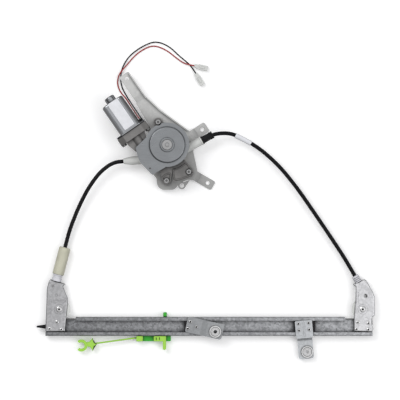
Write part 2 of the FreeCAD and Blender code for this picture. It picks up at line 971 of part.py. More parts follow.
def rail_cable():
    """Steel cable: down to the left pulley, along the rail and up from the right one."""
    left_foot, left_up = cable_exit(left_pulley, s.left_cable_angle)
    right_foot, right_up = cable_exit(right_pulley, s.right_cable_angle)
    start = left_foot + left_up * (s.left_seat - 0.4)
    end = right_foot + right_up * (s.right_seat - 0.4)
    left_low = left_pulley - Vector(0, s.pulley_groove, 0)
    right_low = right_pulley - Vector(0, s.pulley_groove, 0)
    left_mid = left_pulley + polar(s.pulley_groove, 90 + (s.left_cable_angle + 180) / 2)
    right_mid = right_pulley + polar(s.pulley_groove, (s.right_cable_angle - 180) / 2)
    wire = Part.Wire(
        [
            Part.LineSegment(start, left_foot).toShape(),
            Part.Arc(left_foot, left_mid, left_low).toShape(),
            Part.LineSegment(left_low, right_low).toShape(),
            Part.Arc(right_low, right_mid, right_foot).toShape(),
            Part.LineSegment(right_foot, end).toShape(),
        ]
    )
    return shaped("rail_cable", tube_along(wire, s.cable_radius))


rail_cable()

# Glass carriages: acetal slider in the rail, pressed bracket, rivets, nut, nipple


def slider(label, x, length):
    """A block that runs in the rail, with a neck through its slot for the bracket."""
    body = new_body(label)
    put(body, x, "Sizes.rail_line", web_top)
    half = s.rail_width / 2 - s.rail_sheet - s.slider_play
    neck = s.rail_width / 2 - s.rail_lip - s.slider_play
    floor = s.slider_play
    ceiling = s.rail_depth - 2 * s.rail_sheet - s.slider_play
    top = carriage_under - web_top
    section = sketch_on(body, "YZ_Plane", level=-length / 2)
    section.addGeometry(
        outline(
            [
                (-half, floor, 0.6),
                (half, floor, 0.6),
                (half, ceiling, 0.6),
                (neck, ceiling),
                (neck, top),
                (-neck, top),
                (-neck, ceiling),
                (-half, ceiling, 0.6),
            ]
        )
    )
    block = pad(body, section, length)
    fillet(body, block, 1.5, lambda edge: stands(edge) and abs(edge.BoundBox.YMin) > neck + 0.5)
    cable_at = cable_y - s.rail_line
    level = s.cable_level - web_top
    groove = sketch_on(body, "YZ_Plane", level=-length / 2)
    reach = s.cable_radius + 0.6
    groove.addGeometry(
        outline(
            [
                (cable_at - reach, level - reach),
                (cable_at + reach, level - reach),
                (cable_at + reach, top + 1),
                (cable_at - reach, top + 1),
            ]
        )
    )
    pocket(body, groove, length, up=True)
    seat = sketch_on(body, "YZ_Plane", level=-s.nipple_length / 2 - 0.2)
    wide = s.nipple_radius + 0.15
    seat.addGeometry(
        outline(
            [
                (cable_at - wide, level - wide),
                (cable_at + wide + 1, level - wide),
                (cable_at + wide + 1, top + 1),
                (cable_at - wide, top + 1),
            ]
        )
    )
    pocket(body, seat, "Sizes.nipple_length + 0.4", up=True)
    return body


def nipple(label, x):
    """The crimped sleeve that the slider takes the cable's pull from."""
    body = new_body(label)
    low = -s.nipple_length / 2
    inner = s.cable_radius + s.cable_play
    revolve(
        body,
        [
            (low, inner),
            (-low, inner),
            (-low, s.nipple_radius),
            (low, s.nipple_radius),
        ],
        role="XY_Plane",
        axis="H_Axis",
    )
    put(body, x, cable_y, "Sizes.cable_level")
    return body


RIVETS_A = [(-7.2, 5.0), (-8.6, -6.4), (4.4, -0.8)]
RIVETS_B = [(-8.2, 5.0), (8.2, 5.0), (-8.2, -5.6), (8.2, -5.6)]
NUT_A = (34.9, -1.6)
NUT_B = (2.1, -41.1)
BLIND = 5.0


def strip_outline(path, thickness):
    """Side view of a bent sheet: path is (distance, height) along its underside."""
    upper = []
    for index, (distance, height) in enumerate(path):
        slopes = []
        if index > 0:
            before = path[index - 1]
            slopes.append(math.atan2(height - before[1], distance - before[0]))
        if index < len(path) - 1:
            after = path[index + 1]
            slopes.append(math.atan2(after[1] - height, after[0] - distance))
        middle = sum(slopes) / len(slopes)
        grow = thickness / math.cos((slopes[-1] - slopes[0]) / 2)
        upper.append((distance - grow * math.sin(middle), height + grow * math.cos(middle)))
    return outline(list(path) + upper[::-1])


def bracket_a():
    body = new_body("glass_bracket_a")
    put(body, "Sizes.bracket_a_x", "Sizes.bracket_a_y", carriage_under, s.bracket_a_turn)
    rise = s.bracket_a_rise
    path = [(-12.4, 0), (12.6, 0), (21.0, rise), (46.8, rise)]
    side = sketch_on(body, "XZ_Plane", level=-s.bracket_a_width / 2)
    side.addGeometry(strip_outline(path, s.plate_sheet))
    strip = pad(body, side, "Sizes.bracket_a_width")
    fillet(body, strip, 3.2, stands)
    ridge = sketch_on(body, level=s.plate_sheet)
    ridge.addGeometry(
        outline([(-1.6, -10.5, 0.9), (0.4, -10.5, 0.9), (0.4, -3.4, 0.9), (-1.6, -3.4, 0.9)])
    )
    pad(body, ridge, 0.6)
    holes = sketch_on(body)
    for x, y in RIVETS_A:
        add_circle(holes, x, y, "Sizes.carriage_rivet + Sizes.hole_play")
    pocket(body, holes, "Sizes.plate_sheet", up=True)
    nut_hole = sketch_on(body, level=rise)
    add_circle(nut_hole, *NUT_A, "Sizes.nut_barrel + Sizes.hole_play")
    pocket(body, nut_hole, "Sizes.plate_sheet", up=True)
    return body


def bracket_b():
    body = new_body("glass_bracket_b")
    put(body, "Sizes.bracket_b_x", "Sizes.rail_line", carriage_under, s.bracket_b_turn)
    drop = s.bracket_b_drop
    edge = -17.6
    foot = edge - 3.6
    tip = foot - s.tab_b_length
    path = [(tip, -drop), (foot, -drop), (edge, 0), (9.4, 0)]
    side = sketch_on(body, "YZ_Plane", level=-s.tab_b_width / 2)
    side.addGeometry(strip_outline(path, s.plate_sheet))
    strip = pad(body, side, "Sizes.tab_b_width")
    fillet(body, strip, 3.0, lambda edge: stands(edge) and edge.BoundBox.YMin < tip + 1)
    wide = sketch_on(body)
    half = s.bracket_b_width / 2
    wide.addGeometry(
        outline([(-half, -17.2, 2.0), (half, -17.2, 2.0), (half, 9.4, 2.0), (-half, 9.4, 2.0)])
    )
    pad(body, wide, "Sizes.plate_sheet")
    walls = sketch_on(body, level=-drop - s.tab_b_flange + s.plate_sheet)
    reach = s.tab_b_width / 2
    for side_of in (-1, 1):
        near, far = sorted((reach * side_of, (reach - s.plate_sheet) * side_of))
        walls.addGeometry(
            outline([(near, tip + 4.5), (far, tip + 4.5), (far, foot), (near, foot)])
        )
    pad(body, walls, s.tab_b_flange)
    bead = sketch_on(body, level=s.plate_sheet)
    bead.addGeometry(
        outline([(-0.9, -15.5, 0.8), (0.9, -15.5, 0.8), (0.9, 7.6, 0.8), (-0.9, 7.6, 0.8)])
    )
    pad(body, bead, 0.7)
    holes = sketch_on(body)
    for x, y in RIVETS_B:
        add_circle(holes, x, y, "Sizes.carriage_rivet + Sizes.hole_play")
    pocket(body, holes, "Sizes.plate_sheet", up=True)
    nut_hole = sketch_on(body, level=-drop)
    add_circle(nut_hole, *NUT_B, "Sizes.nut_barrel + Sizes.hole_play")
    pocket(body, nut_hole, "Sizes.plate_sheet", up=True)
    return body


def carriage_rivets(label, bracket, places):
    """Rivets through a bracket into its slider."""
    head = 1.0
    master = turned(
        f"{label}_master",
        [
            (0, -BLIND),
            (s.carriage_rivet, -BLIND),
            (s.carriage_rivet, s.plate_sheet),
            (s.carriage_rivet_head, s.plate_sheet),
            (s.carriage_rivet_head, s.plate_sheet + head * 0.4),
            (s.carriage_rivet_head * 0.6, s.plate_sheet + head),
            (0, s.plate_sheet + head),
        ],
        keep=False,
    )
    spots = [
        bracket.Placement.multiply(Placement(Vector(x, y, 0), Rotation())) for x, y in places
    ]
    group(label, master, spots)
    return spots


def drill_slider(body, spots):
    """Blind holes for the rivets in a slider's neck."""
    holes = sketch_on(body, level=carriage_under - web_top)
    for spot in spots:
        local = body.Placement.inverse().multVec(spot.Base)
        add_circle(holes, local.x, local.y, "Sizes.carriage_rivet + Sizes.hole_play / 2")
    pocket(body, holes, BLIND + 0.2)


def glass_nut(label, bracket, spot, under):
    """Flanged nut staked into the bracket's tab, with a raised rim round its thread."""
    barrel = s.nut_barrel
    floor = s.plate_sheet
    rim = floor + s.nut_height
    body = turned(
        label,
        [
            (s.nut_bore, -2.2),
            (barrel, -2.2),
            (barrel, floor),
            (s.nut_flange - 0.5, floor),
            (s.nut_flange, floor + 0.5),
            (s.nut_flange, rim - 0.6),
            (s.nut_flange - 0.6, rim),
            (s.nut_ring, rim),
            (s.nut_ring - 0.8, floor + 0.9),
            (s.nut_bore + 1.2, floor + 0.9),
            (s.nut_bore + 1.2, floor + 1.5),
            (s.nut_bore, floor + 1.5),
        ],
    )
    body.Placement = bracket.Placement.multiply(
        Placement(Vector(spot[0], spot[1], under), Rotation())
    )
    return body


def carriages():
    plate_a = bracket_a()
    plate_b = bracket_b()
    doc.recompute()
    slider_a = slider("slider_a", "Sizes.slider_a_x", s.slider_a_length)
    slider_b = slider("slider_b", "Sizes.slider_b_x", s.slider_b_length)
    nipple("nipple_a", s.slider_a_x)
    nipple("nipple_b", s.slider_b_x)
    doc.recompute()
    drill_slider(slider_a, carriage_rivets("rivets_a", plate_a, RIVETS_A))
    drill_slider(slider_b, carriage_rivets("rivets_b", plate_b, RIVETS_B))
    glass_nut("glass_nut_a", plate_a, NUT_A, s.bracket_a_rise)
    glass_nut("glass_nut_b", plate_b, NUT_B, -s.bracket_b_drop)


carriages()

# Moulded clip that grips the rail and carries a thin arm


def clip():
    """Strap under the rail with a bar, a latch knuckle and an arm on the near side."""
    near = s.rail_line - s.rail_width / 2 - s.clip_play
    far = s.rail_line + s.rail_width / 2 + s.clip_play
    bar_left = -110.7
    bar_right = -55.7
    low = near - 8.6
    bar_top = 6.5
    seat = bar_top + 0.1
    bar = new_body("clip_bar")
    long_bar = sketch_on(bar)
    long_bar.addGeometry(
        outline(
            [
                (bar_left, low, 1.5),
                (bar_right, low, 1.5),
                (bar_right, near, 1.0),
                (bar_left, near, 1.0),
            ]
        )
    )
    pad(bar, long_bar, bar_top)
    half = s.clip_strap_width / 2
    strap = sketch_on(bar)
    strap_left = s.clip_strap_x - half
    strap_right = s.clip_strap_x + half
    strap.addGeometry(
        outline(
            [
                (strap_left, near - 1),
                (strap_right, near - 1),
                (strap_right, far + 6.9, 2.0),
                (strap_left, far + 6.9, 2.0),
            ]
        )
    )
    pad(bar, strap, s.rail_base - s.clip_play)
    knob = sketch_on(bar)
    knob.addGeometry(
        outline(
            [
                (strap_left, far, 1.0),
                (strap_right, far, 1.0),
                (strap_right, far + 6.9, 2.0),
                (strap_left, far + 6.9, 2.0),
            ]
        )
    )
    top = pad(bar, knob, "Sizes.rail_base + Sizes.rail_depth - 3")
    fillet(bar, top, 1.0, lambda edge: lies_at(edge, rail_top - 3))
    latch = new_body("clip_latch")
    knuckle = sketch_on(latch, level=seat)
    finger_left = s.clip_strap_x - 3.4
    finger_right = s.clip_strap_x + 1.8
    knuckle.addGeometry(
        outline(
            [
                (-82.9, low, 1.2),
                (finger_left, low, 0.6),
                (finger_left, low - 13.6, 2.4),
                (finger_right, low - 13.6, 2.4),
                (finger_right, near, 1.2),
                (-82.9, near, 1.2),
            ]
        )
    )
    block = pad(latch, knuckle, s.clip_height - seat)
    fillet(latch, block, 0.8, lambda edge: lies_at(edge, s.clip_height))
    slots = sketch_on(latch, level=s.clip_height)
    for x in (-79.6, -74.6):
        slots.addGeometry(
            outline([(x, low + 2.4), (x + 1.6, low + 2.4), (x + 1.6, near - 2), (x, near - 2)])
        )
    pocket(latch, slots, 2.2)
    arm = new_body("clip_arm")
    root = sketch_on(arm, level=seat)
    root_right = bar_left + 10.4
    root.addGeometry(
        outline(
            [
                (bar_left, low, 1.2),
                (root_right, low, 1.2),
                (root_right, near, 1.2),
                (bar_left, near, 1.2),
            ]
        )
    )
    block = pad(arm, root, s.clip_height - seat)
    fillet(arm, block, 0.8, lambda edge: lies_at(edge, s.clip_height))
    level = seat + s.clip_rod + 0.4
    start = Vector(bar_left + 2, CLIP_ROD_START, level)
    end = Vector(STAR[0], STAR[1], level)
    boss(arm, "Sizes.clip_rod", (end - start).Length, start, end - start)
    star = sketch_on(arm, level=level - 2.4)
    x, y = STAR
    star.addGeometry(
        outline(
            [
                (x - 6.6, y - 0.4),
                (x - 1.6, y - 1.8, 0.6),
                (x + 0.6, y - 8.6, 0.6),
                (x + 2.0, y - 1.8, 0.6),
                (x + 6.5, y, 0.6),
                (x + 2.0, y + 1.8, 0.6),
                (x - 0.8, y + 8.6, 0.6),
                (x - 1.6, y + 1.8, 0.6),
            ]
        )
    )
    pad(arm, star, 4.8)
    fork = sketch_on(arm, level=level - 2.4)
    centre = Vector(FORK[0], FORK[1], 0)
    outer = s.clip_fork_bore + s.clip_fork_wall
    opening = 132
    fork.addGeometry(sector(centre, s.clip_fork_bore, outer, -opening, opening))
    pad(arm, fork, 5.6)
    return arm


def sector(centre, inner, outer, first, last):
    """Outline of a ring's sector between two angles."""
    middle = (first + last) / 2
    return [
        Part.Arc(
            centre + polar(outer, first), centre + polar(outer, middle), centre + polar(outer, last)
        ),
        Part.LineSegment(centre + polar(outer, last), centre + polar(inner, last)),
        Part.Arc(
            centre + polar(inner, last), centre + polar(inner, middle), centre + polar(inner, first)
        ),
        Part.LineSegment(centre + polar(inner, first), centre + polar(outer, first)),
    ]


CLIP_ROD_START = -194.8
STAR = (-183.2, -205.0)
FORK = (-198.4, -207.2)
clip()

# Drive unit: mounting plate, drum case, gear case, cover and what turns inside

SCREWS = [(-1.0, -56.6), (34.2, -42.6), (-14.6, 36.2)]
PLATE_EDGE = [
    (48.0, -41.3, 3.0),
    (41.3, -9.8, 6.0),
    (45.6, 8.6, 1.0),
    (35.0, 22.6, 1.0),
    (3.0, 45.8, 30.0),
    (-10.9, 56.2, 30.0),
    (-33.9, 77.9, 0.5),
    (-50.0, 66.8, 0.5),
    (-31.5, 35.0, 6.0),
    (-28.0, -40.0, 8.0),
    (-17.5, -53.0, 4.0),
    (-15.5, -71.0, 12.0),
    (12.0, -71.4, 10.0),
    (18.0, -61.0, 4.0),
    (32.0, -55.0, 2.0),
    (41.4, -55.8, 1.0),
]
FLANGED_EDGE = [(33.0, 24.2), (3.6, 45.6), (-10.6, 56.1), (-33.7, 77.7)]
EYELET = (23.0, -64.3)
ARM_A_ROOT = Vector(-41.8, 72.5, 0)
ARM_A_ANGLE = 124.5
ARM_B_ROOT = Vector(40.3, 15.6, 0)
ARM_B_ANGLE = 33.0
ARM_C_ROOT = Vector(44.4, -48.8, 0)
ARM_C_ANGLE = -29.7


def upright_plane(root, angle, side, level=0.0):
    """Offset of an XZ sketch so that it runs along an angle in plan.

    side moves it along its own normal, which points to the right of that angle."""
    normal = polar(1, angle - 90)
    base = root + normal * side
    return Placement(Vector(base.x, level, -base.y), Rotation(Vector(0, 1, 0), angle))


def arm(body, root, angle, path, width, thickness, side=0.0):
    """A bent strip that leaves the plate at an angle in plan."""
    plane = upright_plane(root, angle, side - width / 2)
    side_view = sketch_on(body, "XZ_Plane", offset=plane)
    side_view.addGeometry(strip_outline(path, thickness))
    return pad(body, side_view, width)


def mounting_plate():
    body = new_body("mounting_plate")
    put(body, "Sizes.drum_x", "Sizes.drum_y", "Sizes.plate_level")
    edge = sketch_on(body)
    edge.addGeometry(outline(PLATE_EDGE))
    pad(body, edge, "Sizes.base_sheet")
    lug = sketch_on(body)
    x, y = EYELET
    add_circle(lug, x, y, "Sizes.eyelet_radius")
    pad(body, lug, "Sizes.base_sheet")
    neck = sketch_on(body)
    neck.addGeometry(outline([(15.0, -63.0), (x, y - 6), (x + 5.5, y - 2.5), (36.0, -55.3)]))
    pad(body, neck, "Sizes.base_sheet")
    rise = s.arm_a_rise
    arm_a = [(-4, 0), (0, 0), (9, rise), (s.arm_a_reach - 9, rise)]
    tip_a = arm(body, ARM_A_ROOT, ARM_A_ANGLE, arm_a, s.arm_a_width, s.base_sheet)
    fillet(body, tip_a, 3.0, lambda edge: stands(edge) and edge.BoundBox.YMin > 98)
    wall = s.base_sheet
    side = s.arm_a_width / 2 - wall / 2
    stiff = [(-2, 0), (0, 0), (9, rise), (s.arm_a_reach - 12, rise)]
    arm(body, ARM_A_ROOT, ARM_A_ANGLE, stiff, wall, wall + s.edge_flange, side)
    drop = -s.plate_level
    arm_b = [(-3, 0), (0, 0), (7, drop), (s.arm_b_reach, drop)]
    tip_b = arm(body, ARM_B_ROOT, ARM_B_ANGLE, arm_b, s.arm_b_width, s.base_sheet)
    fillet(body, tip_b, 3.0, lambda edge: stands(edge) and edge.BoundBox.XMin > 56)
    arm_c = [(-3, 0), (0, 0), (7, drop), (s.arm_c_reach, drop)]
    tip_c = arm(body, ARM_C_ROOT, ARM_C_ANGLE, arm_c, s.arm_c_width, s.base_sheet)
    fillet(
        body,
        tip_c,
        3.0,
        lambda edge: stands(edge) and edge.BoundBox.XMin > 64 and edge.BoundBox.YMin < -50,
    )
    rim = sketch_on(body)
    outer = [(x, y) for x, y in FLANGED_EDGE]
    inner = [(x - wall * 0.6, y - wall * 0.8) for x, y in FLANGED_EDGE]
    rim.addGeometry(outline(outer + inner[::-1]))
    pad(body, rim, s.base_sheet + s.edge_flange)
    holes = sketch_on(body)
    for x, y in SCREWS:
        add_circle(holes, x, y, "Sizes.screw_radius + Sizes.hole_play")
    add_circle(holes, 0, 0, "Sizes.shaft_radius + Sizes.hole_play")
    add_circle(holes, *EYELET, "Sizes.eyelet_hole")
    pocket(body, holes, THROUGH, up=True)
    ends = sketch_on(body, level="-Sizes.plate_level")
    for root, angle, reach in (
        (ARM_A_ROOT, ARM_A_ANGLE, s.arm_a_reach - 18),
        (ARM_B_ROOT, ARM_B_ANGLE, s.arm_b_reach - 9),
        (ARM_C_ROOT, ARM_C_ANGLE, s.arm_c_reach - 10),
    ):
        spot = root + polar(reach, angle)
        add_circle(ends, spot.x, spot.y, "Sizes.arm_hole")
    pocket(body, ends, THROUGH, up=True)
    return body


mounting_plate()


def press_nuts():
    """Round nuts pressed into the plate from below, for the three case screws."""
    height = 4.6
    hole = s.screw_radius + s.hole_play / 2
    master = turned(
        "press_nut_master",
        [
            (hole, s.plate_level - height),
            (4.4, s.plate_level - height),
            (5.2, s.plate_level - height + 0.8),
            (5.2, s.plate_level),
            (hole, s.plate_level),
        ],
        keep=False,
    )
    group("press_nuts", master, screw_places())


def screw_places():
    return [
        Placement(drum_axis + Vector(x, y, 0), Rotation()) for x, y in SCREWS
    ]


press_nuts()


def run_of(angle, side, level):
    """Where a cable touches the drum's lower side and the way it leaves."""
    out = polar(side, angle)
    foot = polar(s.drum_radius, angle - 90)
    return drum_axis + Vector(foot.x, foot.y, level), out


left_foot, left_out = run_of(s.left_run_angle, -1, s.drum_left_level)
right_foot, right_out = run_of(s.right_run_angle, 1, s.drum_right_level)
CASING_SEAT = 8.0


def drum_case():
    """Nylon case round the drum, with a tapered outlet and a straight sleeve."""
    body = new_body("drum_housing")
    put(body, "Sizes.drum_x", "Sizes.drum_y", plate_top)
    home = drum_axis + Vector(0, 0, plate_top)
    shell = sketch_on(body)
    add_circle(shell, 0, 0, "Sizes.drum_case_radius")
    pad(body, shell, "Sizes.drum_case_height")
    left = left_foot - home
    right = right_foot - home
    taper = 14.0
    straight = s.left_outlet_reach - taper
    boss(body, "Sizes.outlet_radius", straight - 10, left + left_out * 10, left_out)
    cone = body.newObject("PartDesign::AdditiveCone", "drum_housing_outlet")
    cone.Radius1 = s.outlet_radius
    cone.Radius2 = s.outlet_tip
    cone.Height = taper
    cone.Placement = Placement(left + left_out * straight, Rotation(UP, left_out))
    reach = s.right_outlet_reach
    boss(body, "Sizes.sleeve_radius", reach - 10, right + right_out * 10, right_out)
    boss(body, "Sizes.sleeve_radius + 0.8", 2.0, right + right_out * (reach - 2), right_out)
    hollow = sketch_on(body, level="Sizes.drum_case_wall")
    add_circle(hollow, 0, 0, "Sizes.drum_case_radius - Sizes.drum_case_wall")
    pocket(body, hollow, "Sizes.drum_case_height", up=True)
    floor = sketch_on(body)
    add_circle(floor, 0, 0, "Sizes.shaft_radius + 0.5")
    pocket(body, floor, "Sizes.drum_case_wall", up=True)
    for base, out, length in (
        (left, left_out, s.left_outlet_reach),
        (right, right_out, reach),
    ):
        bore(body, "Sizes.cable_bore", length, base + out * 4, out)
        socket = base + out * (length - CASING_SEAT)
        bore(body, "Sizes.conduit_radius + Sizes.socket_play", CASING_SEAT + 1, socket, out)
    return body


drum_case()


def gear_case():
    """Cast case over the wheel and worm, with its motor flange and three ears."""
    body = new_body("gear_housing")
    put(body, "Sizes.drum_x", "Sizes.drum_y", drum_case_top)
    inset = s.cover_radius - s.gear_case_radius
    round_part = sketch_on(body)
    add_circle(round_part, 0, 0, "Sizes.gear_case_radius")
    pad(body, round_part, "Sizes.gear_case_height")
    wing = sketch_on(body)
    wing.addGeometry(outline(wing_corners(inset)))
    pad(body, wing, "Sizes.gear_case_height")
    axis_height = worm_level - drum_case_top
    middle = worm_middle - drum_axis + Vector(0, 0, axis_height)
    flange_near = s.can_front + s.can_sheet + s.gasket_sheet
    flange_far = flange_near + s.flange_block
    tube_start = middle + motor_axis * (flange_far - 2)
    boss(
        body, "Sizes.worm_tube_radius", s.worm_tube_end - flange_far + 2, tube_start, motor_axis
    )
    gusset = sketch_on(body, level=axis_height - 6.5)
    gusset.addGeometry(
        outline(
            [
                plan_point(along, across)
                for along, across in (
                    (flange_far - 2, -17.5),
                    (flange_far + 6, -17.5),
                    (-16.0, -12.5),
                    (-8.0, -6.0),
                    (-8.0, 6.0),
                    (flange_far - 2, 17.5),
                )
            ]
        )
    )
    pad(body, gusset, 13.0)
    face = sketch_on(
        body,
        "XZ_Plane",
        offset=upright_plane(
            Vector(middle.x, middle.y, 0), s.motor_angle + 90, flange_near, axis_height
        ),
    )
    face.addGeometry(outline(flange_corners(s.motor_flange, s.can_flat - 0.4)))
    pad(body, face, "Sizes.flange_block")
    webs = sketch_on(body)
    ear_x, ear_y = SCREWS[0]
    webs.addGeometry(
        outline([(-14.0, -30.0), (ear_x - 6.5, ear_y), (ear_x + 6.5, ear_y), (10.0, -30.0)])
    )
    ear_top = s.ear_height - s.drum_case_height
    pad(body, webs, ear_top)
    lug = sketch_on(body)
    lug.addGeometry(
        outline(
            [
                (9.4, -59.0, 1.0),
                (39.4, -50.8, 2.0),
                (42.0, -44.0, 3.0),
                (36.0, -33.0, 4.0),
                (24.0, -20.0),
                (8.6, -30.0),
            ]
        )
    )
    pad(body, lug, ear_top)
    ears = sketch_on(body, level=plate_top - drum_case_top)
    for x, y in SCREWS:
        add_circle(ears, x, y, "Sizes.ear_radius - 0.6")
    pad(body, ears, "Sizes.ear_height")
    chamber = sketch_on(body, level="Sizes.gear_case_floor")
    add_circle(chamber, 0, 0, "Sizes.gear_case_radius - Sizes.gear_case_wall")
    pocket(body, chamber, "Sizes.gear_case_height", up=True)
    middle_opening = sketch_on(body)
    add_circle(middle_opening, 0, 0, HUB_OPENING)
    pocket(body, middle_opening, "Sizes.gear_case_floor", up=True)
    seat_near = flange_near + 8.0
    bore(body, WORM_CHAMBER, 17.0 - seat_near, middle + motor_axis * seat_near, motor_axis)
    seat = middle + motor_axis * (flange_near - 1)
    bore(body, "Sizes.bush_radius + 0.7", 9.2, seat, motor_axis)
    bore(body, "Sizes.bush_radius + 0.05", 6.0, middle + motor_axis * 16.8, motor_axis)
    for side in (-1, 1):
        hole = seat + motor_across * (s.motor_bolt * side)
        bore(body, MOTOR_BOLT_RADIUS + 0.1, s.flange_block + 2, hole, motor_axis)
    screws = sketch_on(body, level=plate_top - drum_case_top)
    for x, y in SCREWS:
        add_circle(screws, x, y, "Sizes.screw_radius + Sizes.hole_play")
    pocket(body, screws, "Sizes.ear_height + 1", up=True)
    recess = sketch_on(body, level=ear_top)
    for x, y in SCREWS:
        add_circle(recess, x, y, "Sizes.screw_head + 0.8")
    pocket(body, recess, THROUGH, up=True)
    return body


HUB_OPENING = 9.6
WORM_CHAMBER = 6.9
MOTOR_BOLT_RADIUS = 2.0


def wing_corners(inset=0.0):
    """The cover's wing over the worm, beside the round part; inset shrinks it."""
    full = [
        (-26.0, 22.0),
        (-33.5, 11.2, 8.0),
        (-49.9, -4.6, 3.0),
        (-44.5, -26.0, 30.0),
        (-23.5, -48.0, 3.0),
        (-2.0, -35.0, 3.0),
        (8.0, -26.0),
    ]
    if not inset:
        return full
    bare = [(x, y) for x, y, *_ in full]
    smaller = moved_corners(bare, [inset] * len(bare))
    return [
        (x, y, *corner[2:]) for (x, y), corner in zip(smaller, full)
    ]


def flange_corners(half_width, half_height):
    """Six-sided outline with rounded ears, shared by can, gasket and case flanges."""
    shoulder = half_width * 0.62
    ear = half_height * 0.6
    return [
        (-half_width, -ear, 3.0),
        (-shoulder, -half_height, 3.0),
        (shoulder, -half_height, 3.0),
        (half_width, -ear, 3.0),
        (half_width, ear, 3.0),
        (shoulder, half_height, 3.0),
        (-shoulder, half_height, 3.0),
        (-half_width, ear, 3.0),
    ]


# The motor's axis passes the drum's axis at the pitch radii of wheel and worm
wheel_pitch_radius = s.module * s.wheel_teeth / 2
worm_distance = wheel_pitch_radius + s.worm_pitch_radius
motor_axis = polar(1, s.motor_angle)
motor_across = polar(1, s.motor_angle + 90)
worm_middle = drum_axis - motor_across * worm_distance
motor_turn = Rotation(motor_across, UP, motor_axis, "ZXY")
motor_frame = Placement(worm_middle + Vector(0, 0, worm_level), motor_turn)


def plan_point(along, across):
    """Plan position, from the drum's axis, of a point given along and across the motor."""
    spot = worm_middle - drum_axis + motor_axis * along + motor_across * across
    return spot.x, spot.y


gear_case()


def cover():
    """Pressed lid with a wide dome, a raised hub ring and a wing over the worm."""
    body = new_body("gear_cover")
    put(body, "Sizes.drum_x", "Sizes.drum_y", gear_case_top)
    disc = sketch_on(body)
    add_circle(disc, 0, 0, "Sizes.cover_radius")
    pad(body, disc, "Sizes.cover_sheet")
    wing = sketch_on(body)
    wing.addGeometry(outline(wing_corners()))
    pad(body, wing, "Sizes.cover_sheet")
    opening = sketch_on(body)
    add_circle(opening, 0, 0, s.dome_radius + 0.6)
    pocket(body, opening, "Sizes.cover_sheet", up=True)
    sheet_thickness = s.cover_sheet
    crown = sheet_thickness + s.dome_rise
    hub_top = crown + s.hub_rise
    bore_radius = s.shaft_cap + 0.2
    revolve(
        body,
        [
            (s.dome_radius + 2.6, 0),
            (s.dome_radius + 2.6, sheet_thickness),
            (s.dome_radius + 1.4, sheet_thickness),
            (s.dome_radius, crown, 1.5),
            (s.hub_ring + 1.3, crown),
            (s.hub_ring, hub_top, 0.6),
            (bore_radius, hub_top),
            (bore_radius, hub_top - sheet_thickness),
            (s.hub_ring - 0.5, hub_top - sheet_thickness),
            (s.hub_ring + 0.8, crown - sheet_thickness),
            (s.dome_radius - 0.9, crown - sheet_thickness, 0.6),
            (s.dome_radius + 0.6, 0),
        ],
    )
    notch = sketch_on(body)
    add_circle(notch, *SCREWS[2], "Sizes.screw_head + 1")
    add_circle(notch, *CLINCH, 1.4)
    pocket(body, notch, THROUGH, up=True)
    return body


CLINCH = (-27.0, -37.4)
cover()


def gear_axle():
    """Fixed shaft through plate, drum and wheel, with a plain cap in the cover's hub."""
    hub_top = gear_case_top + s.cover_sheet + s.dome_rise + s.hub_rise
    cap = hub_top - s.cover_sheet - 0.2
    foot = 1.5
    body = turned(
        "gear_axle",
        [
            (0, s.plate_level - foot),
            (6.4, s.plate_level - foot),
            (6.4, s.plate_level),
            (s.shaft_radius, s.plate_level),
            (s.shaft_radius, cap),
            (s.shaft_cap, cap),
            (s.shaft_cap, cap + 0.9),
            (s.shaft_cap - 0.6, cap + 1.5),
            (3.4, cap + 1.5),
            (3.0, cap + 0.9),
            (0, cap + 0.9),
        ],
    )
    return put(body, "Sizes.drum_x", "Sizes.drum_y")


gear_axle()


def case_screws():
    """Three button-headed screws with a six-lobed drive, through the ears."""
    seat = plate_top + s.ear_height
    body = new_body("housing_screw_master", keep=False)
    crown = seat + s.screw_head_height
    revolve(
        body,
        [
            (0, s.plate_level - 4.2),
            (s.screw_radius - 0.6, s.plate_level - 4.2),
            (s.screw_radius, s.plate_level - 3.4),
            (s.screw_radius, seat),
            (s.screw_head, seat),
            (s.screw_head, seat + 1.0),
            (s.screw_head * 0.72, crown),
            (0, crown),
        ],
    )
    drive = sketch_on(body, level=crown)
    lobes = 6
    for index in range(lobes):
        spot = polar(1.5, index * 360 / lobes)
        add_circle(drive, spot.x, spot.y, 0.62)
    pocket(body, drive, 1.6)
    well = sketch_on(body, level=crown)
    add_circle(well, 0, 0, 1.6)
    pocket(body, well, 1.6)
    group("housing_screws", body, screw_places())


case_screws()

DRUM_BASE = 2.0
DRUM_HEIGHT = 14.6
HUB_RADIUS = 9.0


def drum():
    """Grooved cable drum with a square boss that drives it."""
    body = new_body("cable_drum")
    base = plate_top + DRUM_BASE
    put(body, "Sizes.drum_x", "Sizes.drum_y", base)
    hole = s.shaft_radius + s.running_play
    floor = s.drum_radius - s.cable_radius - s.cable_play
    crest = s.drum_radius - 0.1
    profile = [(hole, 0), (s.drum_flange, 0), (s.drum_flange, 0.8)]
    half = s.drum_pitch / 2
    first = s.drum_left_level - 2 * s.drum_pitch - base
    grooves = 7
    for index in range(grooves):
        middle = first + index * s.drum_pitch
        profile += [(crest, middle - half + 0.12), (floor, middle - 0.58)]
        profile += [(floor, middle + 0.58), (crest, middle + half - 0.12)]
    profile += [(s.drum_flange, DRUM_HEIGHT - 0.8), (s.drum_flange, DRUM_HEIGHT)]
    hub_top = drum_case_top + s.gear_case_floor + 1.8 - base
    profile += [(HUB_RADIUS, DRUM_HEIGHT), (HUB_RADIUS, hub_top), (hole, hub_top)]
    revolve(body, profile)
    square = sketch_on(body, level=hub_top)
    half_side = s.drive_square / 2
    square.addGeometry(
        outline([(x * half_side, y * half_side, 1.0) for x, y in SQUARE])
    )
    add_circle(square, 0, 0, "Sizes.shaft_radius + Sizes.running_play")
    pad(body, square, DRIVE_SHEET)
    return base + hub_top


